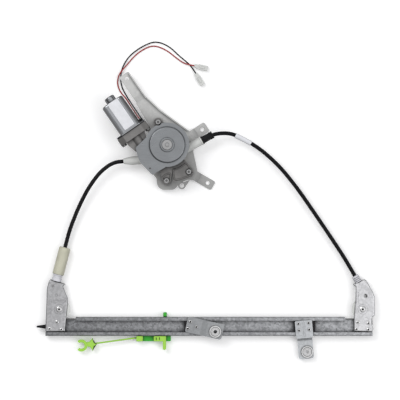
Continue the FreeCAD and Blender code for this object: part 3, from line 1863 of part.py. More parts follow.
SQUARE = [(-1, -1), (1, -1), (1, 1), (-1, 1)]
DRIVE_SHEET = 1.6
drive_level = drum()


def drum_turns():
    """Turns of steel cable that lie in the drum's outer grooves."""
    rings = []
    for step in (-1, 3):
        level = s.drum_left_level + step * s.drum_pitch
        rings.append(
            Part.makeTorus(s.drum_radius, s.cable_radius, drum_axis + Vector(0, 0, level), UP)
        )
    return shaped("drum_cable_turns", Part.makeCompound(rings))


drum_turns()


def drive_parts():
    """Steel drive plate with three dogs, and the rubber damper that they push."""
    plate = new_body("drive_plate")
    put(plate, "Sizes.drum_x", "Sizes.drum_y", drive_level)
    disc = sketch_on(plate)
    outer = wheel_recess - 0.9
    add_circle(disc, 0, 0, outer)
    hole = s.drive_square / 2 + 0.1
    disc.addGeometry(outline([(x * hole, y * hole, 1.0) for x, y in SQUARE]))
    pad(plate, disc, DRIVE_SHEET)
    dog = sketch_on(plate)
    dog.addGeometry(outline([(12.0, -2.5), (19.5, -2.5), (19.5, 2.5), (12.0, 2.5)]))
    dogs = pad(plate, dog, DRIVE_SHEET + 2.6)
    pattern_about_z(plate, dogs, dog, 3)
    damper = new_body("damper")
    put(damper, "Sizes.drum_x", "Sizes.drum_y", drive_level + DRIVE_SHEET + 0.1)
    ring = sketch_on(damper)
    add_circle(ring, 0, 0, wheel_recess - 0.3)
    add_circle(ring, 0, 0, WHEEL_HUB + 0.3)
    pad(damper, ring, DAMPER_HEIGHT)
    notch = sketch_on(damper)
    notch.addGeometry(outline([(11.7, -2.8), (19.8, -2.8), (19.8, 2.8), (11.7, 2.8)]))
    cut = pocket(damper, notch, 3.0, up=True)
    pattern_about_z(damper, cut, notch, 3)


WHEEL_HUB = 7.4
DAMPER_HEIGHT = 4.2
wheel_recess = wheel_pitch_radius - 6.0
drive_parts()


def worm_wheel():
    """Helical wheel: one lofted ring of teeth, hollow below for damper and dogs."""
    teeth = int(s.wheel_teeth)
    slope = math.tan(math.radians(s.pressure_angle))
    half_tooth = (math.pi * s.module / 2 - s.tooth_play) / 2
    tip = worm_distance - worm_root - s.tip_play
    root = worm_distance - worm_tip - s.tip_play
    to_worm = s.motor_angle - 90
    pitch = 360 / teeth
    lean = worm_lead / (2 * math.pi * s.worm_pitch_radius)
    twist = math.degrees(s.wheel_face * lean / wheel_pitch_radius)

    def tooth_ring(level, turn):
        corners = []
        for index in range(teeth):
            middle = to_worm + (index + 0.5) * pitch + turn
            for radius, side in ((root, -1), (tip, -1), (tip, 1), (root, 1)):
                wide = half_tooth - (radius - wheel_pitch_radius) * slope
                angle = middle + side * math.degrees(wide / radius)
                corners.append(polar(radius, angle) + Vector(0, 0, level))
        return Part.makePolygon(corners + corners[:1])

    low = worm_level - s.wheel_face / 2
    high = worm_level + s.wheel_face / 2
    solid = Part.makeLoft([tooth_ring(low, -twist / 2), tooth_ring(high, twist / 2)], True, True)
    recess_top = drive_level + DRIVE_SHEET + DAMPER_HEIGHT + 0.4
    recess = Part.makeCylinder(wheel_recess, recess_top - low + 1, Vector(0, 0, low - 1))
    hub_base = drive_level + DRIVE_SHEET + 0.2
    hub_top = gear_case_top + s.cover_sheet + s.dome_rise - 0.4
    hub = Part.makeCylinder(WHEEL_HUB, hub_top - hub_base, Vector(0, 0, hub_base))
    hole = Part.makeCylinder(s.shaft_radius + s.running_play, 40, Vector(0, 0, low - 10))
    solid = solid.cut(recess).fuse(hub).cut(hole)
    wheel = shaped("worm_wheel", solid.removeSplitter())
    wheel.Placement = Placement(drum_axis, Rotation())
    return wheel


worm_lead = math.pi * s.module
worm_root = s.worm_pitch_radius - 1.2 * s.module
worm_tip = s.worm_pitch_radius + s.module
worm_wheel()


def drum_cables():
    """The two cable ends, from the drum's lower side into their casings."""
    left = Part.makeCylinder(
        s.cable_radius, s.left_outlet_reach - CASING_SEAT, left_foot, left_out
    )
    right = Part.makeCylinder(
        s.cable_radius, s.right_outlet_reach - CASING_SEAT, right_foot, right_out
    )
    return shaped("drum_cables", Part.makeCompound([left, right]))


drum_cables()

# Motor, built along its own axis: local Z is the shaft, X points to the drum


def on_motor(target):
    target.Placement = motor_frame
    return target


def double_d(radius, flat):
    """Round outline with two flats, as the can's section."""
    angle = math.degrees(math.asin(flat / radius))
    right_low, right_high = polar(radius, -angle), polar(radius, angle)
    left_high, left_low = polar(radius, 180 - angle), polar(radius, 180 + angle)
    return [
        Part.Arc(right_low, polar(radius, 0), right_high),
        Part.LineSegment(right_high, left_high),
        Part.Arc(left_high, polar(radius, 180), left_low),
        Part.LineSegment(left_low, right_low),
    ]


def motor_can():
    """Drawn steel can with flats, a bearing cup at its closed end and an open flange."""
    body = new_body("motor_can")
    on_motor(body)
    back = s.can_front - s.can_length
    shell = sketch_on(body, level=back)
    shell.addGeometry(double_d(s.can_radius, s.can_flat))
    block = pad(body, shell, "Sizes.can_length")
    fillet(body, block, "Sizes.can_edge", lambda edge: lies_at(edge, back))
    cup = sketch_on(body, level=back - s.can_boss_length)
    add_circle(cup, 0, 0, "Sizes.can_boss")
    drawn = pad(body, cup, s.can_boss_length + 2)
    fillet(body, drawn, 2.4, lambda edge: lies_at(edge, back - s.can_boss_length))
    flange = sketch_on(body, level="Sizes.can_front")
    flange.addGeometry(outline(flange_corners(s.motor_flange - 0.4, s.can_flat + 0.6)))
    pad(body, flange, "Sizes.can_sheet")
    inside = sketch_on(body, level=back + s.can_sheet)
    inside.addGeometry(double_d(s.can_radius - s.can_sheet, s.can_flat - s.can_sheet))
    pocket(body, inside, "Sizes.can_length + 5", up=True)
    seat = sketch_on(body, level=back - s.can_boss_length + s.can_sheet)
    add_circle(seat, 0, 0, "Sizes.bush_radius + 0.05")
    pocket(body, seat, "Sizes.can_boss_length + 5", up=True)
    holes = sketch_on(body, level="Sizes.can_front")
    for side in (-1, 1):
        add_circle(holes, s.motor_bolt * side, 0, MOTOR_BOLT_RADIUS + 0.1)
    pocket(body, holes, "Sizes.can_sheet", up=True)
    return back


can_back = motor_can()


def motor_insides():
    front = s.can_front
    gasket = on_motor(new_body("motor_gasket"))
    ring = sketch_on(gasket, level=front + s.can_sheet)
    ring.addGeometry(outline(flange_corners(s.motor_flange - 1.4, s.can_flat + 0.9)))
    ring.addGeometry(double_d(s.can_radius - s.can_sheet, s.can_flat - s.can_sheet))
    for side in (-1, 1):
        add_circle(ring, s.motor_bolt * side, 0, MOTOR_BOLT_RADIUS + 0.1)
    pad(gasket, ring, "Sizes.gasket_sheet")

    core_middle = can_back + s.can_length / 2 - 2.0
    magnets = on_motor(new_body("magnets"))
    arcs = sketch_on(magnets, level=core_middle - s.core_length / 2 - 2)
    inner = s.core_radius + s.magnet_gap
    outer = s.can_radius - s.can_sheet - 0.1
    for middle in (0, 180):
        arcs.addGeometry(sector(Vector(), inner, outer, middle - 40, middle + 40))
    pad(magnets, arcs, "Sizes.core_length + 4")

    core_low = core_middle - s.core_length / 2
    core_high = core_low + s.core_length
    core = on_motor(new_body("rotor_core"))
    disc = sketch_on(core, level=core_low)
    add_circle(disc, 0, 0, "Sizes.core_radius")
    add_circle(disc, 0, 0, "Sizes.armature_radius")
    pad(core, disc, "Sizes.core_length")
    slot = sketch_on(core, level=core_low)
    slot.addGeometry(outline([(5.0, -1.0), (12.5, -1.0), (12.5, 1.0), (5.0, 1.0)]))
    cut = pocket(core, slot, "Sizes.core_length", up=True)
    pattern_about_z(core, cut, slot, int(s.core_slots))

    wound = on_motor(new_body("rotor_windings"))
    for base, tip in ((core_low, core_low - 5.5), (core_high, core_high + 5.5)):
        revolve(
            wound,
            [
                (s.armature_radius + 0.6, base),
                (10.4, base),
                (10.4, base * 0.4 + tip * 0.6),
                (8.6, tip),
                (s.armature_radius + 1.8, tip),
            ],
        )
    brush_level = front - 1.4
    commutator = on_motor(new_body("commutator"))
    revolve(
        commutator,
        [
            (s.armature_radius, brush_level - 6.5),
            (s.commutator_radius, brush_level - 6.5),
            (s.commutator_radius, brush_level - 0.6),
            (s.commutator_radius + 0.5, brush_level - 0.6),
            (s.commutator_radius + 0.5, brush_level + 0.4),
            (s.armature_radius, brush_level + 0.4),
        ],
    )
    card = on_motor(new_body("brush_card"))
    face = sketch_on(card, level=brush_level - 0.6)
    face.addGeometry(double_d(s.can_radius - s.can_sheet - 0.2, s.can_flat - s.can_sheet - 0.2))
    add_circle(face, 0, 0, s.commutator_radius + 1.2)
    pad(card, face, 1.8)
    brushes = on_motor(new_body("brushes"))
    blocks = sketch_on(brushes, level=brush_level - 5.0)
    for side in (-1, 1):
        near, far = sorted((side * (s.commutator_radius + 0.1), side * 11.0))
        blocks.addGeometry(outline([(near, -2), (far, -2), (far, 2), (near, 2)]))
    pad(brushes, blocks, 4.4)

    shaft = on_motor(new_body("armature_shaft"))
    rear = can_back - s.can_boss_length + s.can_sheet + 0.6
    nose = 22.0
    half = s.worm_length / 2
    revolve(
        shaft,
        [
            (0, rear),
            (s.armature_radius, rear),
            (s.armature_radius, -half - 2),
            (worm_root, -half),
            (worm_root, half),
            (s.armature_radius, half + 1),
            (s.armature_radius, nose - 0.8),
            (s.armature_radius - 0.8, nose),
            (0, nose),
        ],
    )
    doc.recompute()
    plain = shaft.Shape.copy()
    plain.Placement = Placement()
    nodes.remove(shaft)
    shaft.Label = "plain_shaft"
    worm = plain.fuse(worm_thread())
    threaded = shaped("armature_shaft", worm)
    on_motor(threaded)

    bearings = on_motor(new_body("bearings"))
    fit = s.armature_radius + s.running_play
    case_seat = s.can_front + s.can_sheet + s.gasket_sheet
    spans = (
        (rear - 0.4, rear + 3.6, s.bush_radius),
        (case_seat + 1.0, case_seat + 7.4, s.bush_radius + 0.65),
        (17.2, 22.0, s.bush_radius),
    )
    for low, high, radius in spans:
        revolve(bearings, [(fit, low), (radius, low), (radius, high), (fit, high)])

    bolt = new_body("motor_screw_master", keep=False)
    flange_far = case_seat + s.flange_block
    revolve(
        bolt,
        [
            (0, front + 0.2),
            (MOTOR_BOLT_RADIUS, front + 0.2),
            (MOTOR_BOLT_RADIUS, flange_far),
            (4.2, flange_far),
            (4.2, flange_far + 2.2),
            (3.2, flange_far + 3.2),
            (0, flange_far + 3.2),
        ],
    )
    places = [
        motor_frame.multiply(Placement(Vector(s.motor_bolt * side, 0, 0), Rotation()))
        for side in (-1, 1)
    ]
    group("motor_screws", bolt, places)

    grommet = on_motor(new_body("lead_grommet"))
    pads = sketch_on(grommet, level=front - GROMMET_LENGTH - 0.1)
    near = s.can_radius + 0.1
    pads.addGeometry(
        outline([(near, -3.2, 0.5), (near + 6, -3.2, 1.5), (near + 6, 3.2, 1.5), (near, 3.2, 0.5)])
    )
    pad(grommet, pads, GROMMET_LENGTH)


GROMMET_LENGTH = 5.0


def worm_thread():
    """Single right-hand thread whose crest faces the wheel at the worm's middle."""
    slope = math.tan(math.radians(s.pressure_angle))
    half_tooth = (math.pi * s.module / 2 - s.tooth_play) / 2
    length = s.worm_length - worm_lead
    start = -length / 2
    helix = Part.makeHelix(worm_lead, length, s.worm_pitch_radius)
    sunk = worm_root - 0.4
    corners = []
    for radius, side in ((sunk, -1), (worm_tip, -1), (worm_tip, 1), (sunk, 1)):
        wide = half_tooth - (radius - s.worm_pitch_radius) * slope
        corners.append(Vector(radius, 0, side * wide))
    section = Part.makePolygon(corners + corners[:1])
    thread = Part.Wire(helix).makePipeShell([section], True, True)
    crest_angle = 360 * (length / 2) / worm_lead
    thread.Placement = Placement(Vector(0, 0, start), Rotation(UP, -crest_angle))
    return thread


motor_insides()

# Outer casings, held at both ends

left_points = [
    left_foot + left_out * (s.left_outlet_reach - CASING_SEAT),
    left_foot + left_out * (s.left_outlet_reach - CASING_SEAT + 24.3),
    Vector(-168.0, 70.0, 16.5),
    Vector(-186.0, 46.0, 14.8),
    Vector(-201.5, 16.5, 12.2),
    left_socket + cable_exit(left_pulley, s.left_cable_angle)[1] * 36.0,
    left_socket,
]
right_points = [
    right_foot + right_out * (s.right_outlet_reach - CASING_SEAT),
    right_foot + right_out * (s.right_outlet_reach - CASING_SEAT + 31.0),
    Vector(38.0, 131.6, 20.4),
    Vector(58.0, 124.0, 19.3),
    Vector(88.0, 105.5, 17.6),
    Vector(118.0, 78.5, 15.6),
    Vector(146.0, 44.0, 13.5),
    Vector(184.0, -11.0, 11.2),
    right_socket + cable_exit(right_pulley, s.right_cable_angle)[1] * 40.0,
    right_socket,
]
cord("left_conduit", left_points, s.conduit_radius)
cord("right_conduit", right_points, s.conduit_radius)


def cable_boot():
    """Rubber boot over the right casing, tapering to two rings."""
    inner = s.conduit_radius + 0.1
    mouth = inner + 1.3
    end = s.boot_length
    body = turned(
        "cable_boot",
        [
            (inner, 0.1),
            (6.4, 0.1),
            (6.4, 2.2),
            (5.9, 2.8),
            (mouth + s.boot_wall * 0.6, end - 6),
            (mouth + s.boot_wall, end - 5.4),
            (mouth + s.boot_wall, end - 3.6),
            (mouth + s.boot_wall * 0.5, end - 3.0),
            (mouth + s.boot_wall * 0.5, end - 2.4),
            (mouth + s.boot_wall, end - 1.8),
            (mouth + s.boot_wall, end),
            (mouth, end),
        ],
    )
    return point_along(body, right_foot + right_out * s.right_outlet_reach, right_out)


cable_boot()

# Loose leads and their plugs, lying on the table


def motor_point(along, across, height):
    spot = worm_middle + motor_axis * along + motor_across * across
    return Vector(spot.x, spot.y, height)


LEAD_EXIT = s.can_front - GROMMET_LENGTH - 0.35
LEAD_LEVEL = s.lead_radius + 0.1
PLUG_LEVEL = s.connector_height / 2
BLACK_PLUG = Vector(-16.0, 227.4, 0)
BLACK_PLUG_ANGLE = -58.8
RED_PLUG = Vector(-17.9, 239.5, 0)
RED_PLUG_ANGLE = -12.2

black_points = [
    motor_point(LEAD_EXIT, 23.6, worm_level),
    motor_point(-69.0, 23.8, 33.0),
    motor_point(-80.0, 24.0, 20.0),
    motor_point(-90.0, 24.0, 6.0),
    motor_point(-104.0, 24.6, LEAD_LEVEL),
    Vector(-134.6, 205.5, LEAD_LEVEL),
    Vector(-136.6, 221.0, LEAD_LEVEL),
    Vector(-133.4, 238.0, LEAD_LEVEL),
    Vector(-121.5, 256.5, LEAD_LEVEL),
    Vector(-101.5, 270.8, LEAD_LEVEL),
    Vector(-80.5, 279.5, LEAD_LEVEL),
    Vector(-59.0, 271.5, LEAD_LEVEL),
    Vector(-42.5, 255.5, LEAD_LEVEL),
    Vector(-27.5, 243.5, LEAD_LEVEL),
    Vector(-20.8, 235.4, LEAD_LEVEL + 0.9),
    Vector(-16.0, 227.4, PLUG_LEVEL),
]
red_points = [
    motor_point(LEAD_EXIT, 20.8, worm_level),
    motor_point(-68.0, 20.9, 33.5),
    motor_point(-78.0, 21.0, 18.0),
    motor_point(-88.0, 21.2, 4.0),
    motor_point(-101.0, 21.6, LEAD_LEVEL),
    Vector(-136.6, 197.5, LEAD_LEVEL),
    Vector(-141.0, 209.0, LEAD_LEVEL),
    Vector(-140.6, 219.0, LEAD_LEVEL + 1.2),
    Vector(-138.2, 226.0, LEAD_LEVEL + 3.4),
    Vector(-133.2, 232.6, LEAD_LEVEL + 3.4),
    Vector(-126.6, 240.6, LEAD_LEVEL + 0.6),
    Vector(-113.0, 256.5, LEAD_LEVEL),
    Vector(-98.0, 267.2, LEAD_LEVEL),
    Vector(-82.5, 272.8, LEAD_LEVEL),
    Vector(-62.0, 264.5, LEAD_LEVEL),
    Vector(-47.0, 252.0, LEAD_LEVEL),
    Vector(-35.0, 243.6, LEAD_LEVEL + 1.4),
    Vector(-26.0, 241.2, PLUG_LEVEL),
    Vector(-17.9, 239.5, PLUG_LEVEL),
]
cord("black_lead", black_points, s.lead_radius)
cord("red_lead", red_points, s.lead_radius)


def plug(label, place, angle):
    """Blade connector housing: a stepped block with a slot mouth and a latch ridge."""
    body = new_body(label)
    put(body, place.x, place.y, 0.1, angle)
    length = s.connector_length
    half = s.connector_width / 2
    height = s.connector_height
    block = sketch_on(body)
    block.addGeometry(
        outline(
            [
                (0.3, -half * 0.72, 0.6),
                (5.5, -half * 0.72),
                (6.4, -half),
                (length, -half, 0.6),
                (length, half, 0.6),
                (6.4, half),
                (5.5, half * 0.72),
                (0.3, half * 0.72, 0.6),
            ]
        )
    )
    solid = pad(body, block, height - 0.8)
    fillet(body, solid, 0.4, lambda edge: lies_at(edge, height - 0.8))
    latch = sketch_on(body, level=height - 1.0)
    latch.addGeometry(outline([(8.0, -1.4), (16.5, -1.4), (16.5, 1.4), (8.0, 1.4)]))
    pad(body, latch, 0.9)
    mouth = sketch_on(body, "YZ_Plane", level=length - 10.0)
    mouth.addGeometry(outline([(-2.9, 2.0), (2.9, 2.0), (2.9, 5.2), (-2.9, 5.2)]))
    pocket(body, mouth, 11.0, up=True)
    return body


plug("black_connector", BLACK_PLUG, BLACK_PLUG_ANGLE)
plug("red_connector", RED_PLUG, RED_PLUG_ANGLE)

# Checks of every object, then one file for each piece


def export_pieces():
    doc.recompute()
    for item in doc.Objects:
        if "Invalid" in item.State or "Error" in item.State:
            raise RuntimeError(f"{item.Label} is {item.State}")
    os.makedirs("parts", exist_ok=True)
    for piece in nodes:
        shape = piece.Shape
        if shape.isNull() or not shape.isValid() or not shape.Solids:
            raise RuntimeError(f"{piece.Label} has no valid solid")
        shape.exportStep(f"parts/{piece.Label}.step")
    print(f"{len(nodes)} pieces written")


export_pieces()
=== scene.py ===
import json
import math

import bmesh
import bpy
from bpy.props import FloatProperty, FloatVectorProperty, PointerProperty
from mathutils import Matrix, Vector


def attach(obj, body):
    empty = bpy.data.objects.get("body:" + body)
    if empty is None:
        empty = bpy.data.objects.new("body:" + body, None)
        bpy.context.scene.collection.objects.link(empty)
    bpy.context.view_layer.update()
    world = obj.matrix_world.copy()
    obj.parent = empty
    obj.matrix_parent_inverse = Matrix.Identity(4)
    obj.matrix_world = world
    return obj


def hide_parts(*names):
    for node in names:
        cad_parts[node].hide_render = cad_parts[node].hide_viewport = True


bl_info = {
    "name": "Window regulator",
    "version": (1, 0, 0),
    "blender": (4, 5, 0),
    "location": "3D View > Sidebar > Regulator",
    "description": "Finishes, leads, labels and small forms of a cable window regulator",
    "category": "Object",
}

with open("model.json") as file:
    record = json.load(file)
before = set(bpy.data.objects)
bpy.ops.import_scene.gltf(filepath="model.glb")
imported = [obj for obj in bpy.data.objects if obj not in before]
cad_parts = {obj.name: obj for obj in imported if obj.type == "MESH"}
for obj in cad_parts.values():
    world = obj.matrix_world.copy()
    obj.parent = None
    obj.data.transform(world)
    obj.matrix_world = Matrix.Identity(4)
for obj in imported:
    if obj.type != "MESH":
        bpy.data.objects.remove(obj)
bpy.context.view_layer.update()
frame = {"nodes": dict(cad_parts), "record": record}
NODES = frame["nodes"]
SLOTS = {row["node"]: row["material_slot"] for row in frame["record"]["subparts"]}


# Sizes and colours that a user would change


def shade(label, colour, text):
    """A colour setting."""
    return FloatVectorProperty(
        name=label, description=text, subtype="COLOR", size=3, min=0.0, max=1.0, default=colour
    )


def span(label, metres, text):
    """A length setting."""
    return FloatProperty(
        name=label, description=text, subtype="DISTANCE", unit="LENGTH", min=0.0, default=metres
    )


class RegulatorMetals(bpy.types.PropertyGroup):
    rail: shade("Rail", (0.29, 0.295, 0.305), "Dull zinc of the guide rail")
    pan: shade("Pulley bracket", (0.50, 0.50, 0.51), "Zinc of the pressed brackets")
    tab: shade("Glass bracket", (0.30, 0.31, 0.32), "Zinc of the glass brackets")
    plate: shade("Mounting plate", (0.31, 0.31, 0.305), "Zinc of the mounting plate")
    can: shade("Motor can", (0.35, 0.36, 0.375), "Bright zinc of the motor can")
    casting: shade("Gear case", (0.19, 0.185, 0.18), "Die casting of the gear case")
    cover: shade("Gear cover", (0.24, 0.25, 0.26), "Satin lid of the gear case")
    steel: shade("Bright steel", (0.70, 0.70, 0.70), "Nuts, rivets and pins")
    screw: shade("Screw steel", (0.36, 0.36, 0.36), "Screws and the gear's axle")
    cable: shade("Cable", (0.22, 0.22, 0.22), "Stranded steel cable")
    flake: span("Zinc flake", 0.0026, "Width of one zinc flake")


class RegulatorPlastics(bpy.types.PropertyGroup):
    cream: shade("Cream", (0.57, 0.56, 0.44), "Tensioner tube")
    pale: shade("Pale nylon", (0.70, 0.70, 0.74), "Necks, ferrule and plugs")
    natural: shade("Natural nylon", (0.66, 0.67, 0.65), "Drum case, wheel and pulleys")
    black: shade("Black", (0.005, 0.005, 0.006), "Casings, boot, sliders and stops")
    lime: shade("Lime", (0.37, 0.70, 0.08), "Clip arm and latch")
    # The clip bar is the same lime nylon as the arm; its darker green is partly the bar's greater
    # thickness and partly painted shade on the recessed bar
    green: shade("Dark green", (0.03, 0.42, 0.02), "Clip bar")
    red: shade("Red lead", (0.36, 0.02, 0.02), "Skin of the red lead")
    paper: shade("Label", (0.78, 0.79, 0.82), "Blank labels")


class RegulatorSizes(bpy.types.PropertyGroup):
    lead: span("Lead", 0.002, "Thickness of one lead")
    label_length: span("Label length", 0.049, "Blank label along the motor")
    label_width: span("Label width", 0.0185, "Blank label across the motor")
    label_sheet: span("Label sheet", 0.0002, "Thickness of the blank label")
    tag_radius: span("Tag", 0.0041, "Radius of the paper round the casing")
    camera_height: span("Camera height", 4.0, "Camera above the table")
    view_width: span("View", 0.64, "Width of the table in the picture")


# Effects shared by several finishes, as shader node groups


def effect(name, inputs, outputs):
    """An empty node group with named sockets; gives the group, its entry and its exit."""
    group = bpy.data.node_groups.new(name, "ShaderNodeTree")
    for label, kind, start in inputs:
        socket = group.interface.new_socket(label, in_out="INPUT", socket_type=kind)
        socket.default_value = start
    for label, kind in outputs:
        group.interface.new_socket(label, in_out="OUTPUT", socket_type=kind)
    entry = group.nodes.new("NodeGroupInput")
    leave = group.nodes.new("NodeGroupOutput")
    return group, entry, leave


def feed(group, socket, value):
    """Gives an input a number, or links the output of another node to it."""
    if isinstance(value, (int, float)):
        socket.default_value = value
    else:
        group.links.new(value, socket)


def noise(group, source, scale, detail=3.0, rough=0.6):
    """Noise on a position, with a scale that is a number or a socket."""
    node = group.nodes.new("ShaderNodeTexNoise")
    node.inputs["Detail"].default_value = detail
    node.inputs["Roughness"].default_value = rough
    group.links.new(source, node.inputs["Vector"])
    feed(group, node.inputs["Scale"], scale)
    return node.outputs["Fac"]


def spread(group, source, low, high, bottom, top):
    """Maps a range of values onto another, held at its ends."""
    node = group.nodes.new("ShaderNodeMapRange")
    for label, value in (
        ("From Min", low), ("From Max", high), ("To Min", bottom), ("To Max", top)
    ):
        feed(group, node.inputs[label], value)
    group.links.new(source, node.inputs["Value"])
    return node.outputs["Result"]


def combine(group, operation, first, second):
    """One arithmetic step between sockets or numbers."""
    node = group.nodes.new("ShaderNodeMath")
    node.operation = operation
    for index, value in enumerate((first, second)):
        feed(group, node.inputs[index], value)
    return node.outputs[0]


def brighten(group, colour, factor):
    """Colour times a varying factor."""
    node = group.nodes.new("ShaderNodeVectorMath")
    node.operation = "SCALE"
    group.links.new(colour, node.inputs[0])
    group.links.new(factor, node.inputs["Scale"])
    return node.outputs[0]


def blended(group, factor, first, second):
    """Mix of a varying colour and a fixed one by a varying mask."""
    node = group.nodes.new("ShaderNodeMix")
    node.data_type = "RGBA"
    group.links.new(factor, node.inputs["Factor"])
    group.links.new(first, node.inputs["A"])
    node.inputs["B"].default_value = (*second, 1.0)
    return node.outputs["Result"]


# How far the painted crevice shade reaches, in metres: on most pieces and on the deep gear case
EDGE_REACH = 0.004
CASE_REACH = 0.009
NOOK_SHARE = 0.4
NOOK_SAMPLES = 8
# Measures of a flat's slope and of its open view, between which the painted shade fades from full
# to none
FLAT_RANGE = (0.45, 0.97)
OPEN_RANGE = (0.4, 0.92)
GRAIN_DEPTH = 0.0002
BLOOM_COLOUR = (0.62, 0.63, 0.64)
DUST_COLOUR = (0.55, 0.54, 0.52)
SKIN_OUTPUTS = (
    ("Colour", "NodeSocketColor"),
    ("Roughness", "NodeSocketFloat"),
    ("Height", "NodeSocketFloat"),
)


def painted_wall_and_nook_shade(group, coords, share, reach=EDGE_REACH):
    """Painted shade: a factor of 1 on open flats, a share on walls and a smaller one in crevices,
    where shade falls.
    """
    split = group.nodes.new("ShaderNodeSeparateXYZ")
    group.links.new(coords.outputs["Normal"], split.inputs[0])
    # Walls that turn away from straight up get painted shade
    upright = combine(group, "ABSOLUTE", split.outputs["Z"], 0.0)
    wall_shading = spread(group, upright, *FLAT_RANGE, share, 1.0)
    # Crevices get a darker painted shade from ambient occlusion
    nook = group.nodes.new("ShaderNodeAmbientOcclusion")
    nook.samples = NOOK_SAMPLES
    feed(group, nook.inputs["Distance"], reach)
    deep = combine(group, "MULTIPLY", share, NOOK_SHARE)
    nook_shading = spread(group, nook.outputs["AO"], *OPEN_RANGE, deep, 1.0)
    return combine(group, "MINIMUM", wall_shading, nook_shading)


def zinc_flakes():
    """Spangled zinc: crystals of differing brightness, white bloom, painted shade on walls and in
    crevices, and painted light that grows along one direction.
    """
    group, entry, leave = effect(
        "zinc_flakes",
        [
            ("Colour", "NodeSocketColor", (0.5, 0.5, 0.5, 1.0)),
            ("Flakes", "NodeSocketFloat", 220.0),
            ("Contrast", "NodeSocketFloat", 0.2),
            ("Bloom", "NodeSocketFloat", 0.3),
            ("Sides", "NodeSocketFloat", 0.6),
            ("Reach", "NodeSocketFloat", EDGE_REACH),
            ("Drift", "NodeSocketVector", (0.0, 0.0, 0.0)),
        ],
        SKIN_OUTPUTS,
    )
    coords = group.nodes.new("ShaderNodeTexCoord")
    place = coords.outputs["Object"]
    wobble = group.nodes.new("ShaderNodeTexNoise")
    wobble.inputs["Scale"].default_value = 160.0
    group.links.new(place, wobble.inputs["Vector"])
    shifted = group.nodes.new("ShaderNodeVectorMath")
    shifted.operation = "MULTIPLY_ADD"
    group.links.new(wobble.outputs["Color"], shifted.inputs[0])
    shifted.inputs[1].default_value = (0.003, 0.003, 0.003)
    group.links.new(place, shifted.inputs[2])
    cells = group.nodes.new("ShaderNodeTexVoronoi")
    group.links.new(shifted.outputs[0], cells.inputs["Vector"])
    group.links.new(entry.outputs["Flakes"], cells.inputs["Scale"])
    split = group.nodes.new("ShaderNodeSeparateColor")
    group.links.new(cells.outputs["Color"], split.inputs["Color"])
    low = combine(group, "SUBTRACT", 1.0, entry.outputs["Contrast"])
    high = combine(group, "ADD", 1.0, entry.outputs["Contrast"])
    flake = spread(group, split.outputs["Red"], 0.0, 1.0, low, high)
    patches = spread(group, noise(group, place, 22.0), 0.3, 0.7, 0.94, 1.06)
    painted_shade = painted_wall_and_nook_shade(group, coords, entry.outputs["Sides"], entry.outputs["Reach"])
    # Painted light: the colour grows lighter along the lean vector, per metre of the part, as if
    # light fell from that side
    slope = group.nodes.new("ShaderNodeVectorMath")
    slope.operation = "DOT_PRODUCT"
    group.links.new(place, slope.inputs[0])
    group.links.new(entry.outputs["Drift"], slope.inputs[1])
    painted_light_lean = combine(group, "ADD", slope.outputs["Value"], 1.0)
    speckle = combine(group, "MULTIPLY", flake, patches)
    # Real speckle times painted shade and painted light
    speckle_and_painted_light = combine(group, "MULTIPLY", speckle, combine(group, "MULTIPLY", painted_shade, painted_light_lean))
    toned = brighten(group, entry.outputs["Colour"], speckle_and_painted_light)
    bloom = spread(group, noise(group, place, 60.0, 5.0, 0.7), 0.52, 0.75, 0.0, 1.0)
    veil = combine(group, "MULTIPLY", bloom, entry.outputs["Bloom"])
    group.links.new(blended(group, veil, toned, BLOOM_COLOUR), leave.inputs["Colour"])
    rough = spread(group, split.outputs["Green"], 0.0, 1.0, 0.3, 0.46)
    group.links.new(combine(group, "ADD", rough, combine(group, "MULTIPLY", veil, 0.2)),
                    leave.inputs["Roughness"])
    fine = noise(group, place, 900.0, 2.0)
    group.links.new(combine(group, "ADD", combine(group, "MULTIPLY", fine, 0.4),
                            combine(group, "MULTIPLY", split.outputs["Blue"], 0.6)),
                    leave.inputs["Height"])


def satin_marks():
    """Satin metal or casting: soft blotches, grain, thin rubbed lines and painted shade on walls
    and in crevices.
    """
    group, entry, leave = effect(
        "satin_marks",
        [
            ("Colour", "NodeSocketColor", (0.5, 0.5, 0.5, 1.0)),
            ("Blotches", "NodeSocketFloat", 0.1),
            ("Grain", "NodeSocketFloat", 700.0),
            ("Low", "NodeSocketFloat", 0.3),
            ("High", "NodeSocketFloat", 0.45),
            ("Sides", "NodeSocketFloat", 0.6),
            ("Reach", "NodeSocketFloat", EDGE_REACH),
        ],
        SKIN_OUTPUTS,
    )
    coords = group.nodes.new("ShaderNodeTexCoord")
    place = coords.outputs["Object"]
    low = combine(group, "SUBTRACT", 1.0, entry.outputs["Blotches"])
    high = combine(group, "ADD", 1.0, entry.outputs["Blotches"])
    broad = spread(group, noise(group, place, 45.0), 0.3, 0.7, low, high)
    stretched = group.nodes.new("ShaderNodeMapping")
    stretched.inputs["Scale"].default_value = (60.0, 900.0, 300.0)
    stretched.inputs["Rotation"].default_value = (0.0, 0.0, 0.5)
    group.links.new(place, stretched.inputs["Vector"])
    rubbed = spread(group, noise(group, stretched.outputs[0], 1.0, 2.0), 0.35, 0.7, 0.96, 1.05)
    # Painted shade on walls and in crevices
    painted_shade = painted_wall_and_nook_shade(group, coords, entry.outputs["Sides"], entry.outputs["Reach"])
    tone = combine(group, "MULTIPLY", combine(group, "MULTIPLY", broad, rubbed), painted_shade)
    group.links.new(brighten(group, entry.outputs["Colour"], tone), leave.inputs["Colour"])
    mottle = noise(group, place, 120.0, 4.0)
    group.links.new(
        spread(group, mottle, 0.3, 0.7, entry.outputs["Low"], entry.outputs["High"]),
        leave.inputs["Roughness"],
    )
    group.links.new(noise(group, place, entry.outputs["Grain"], 2.0), leave.inputs["Height"])


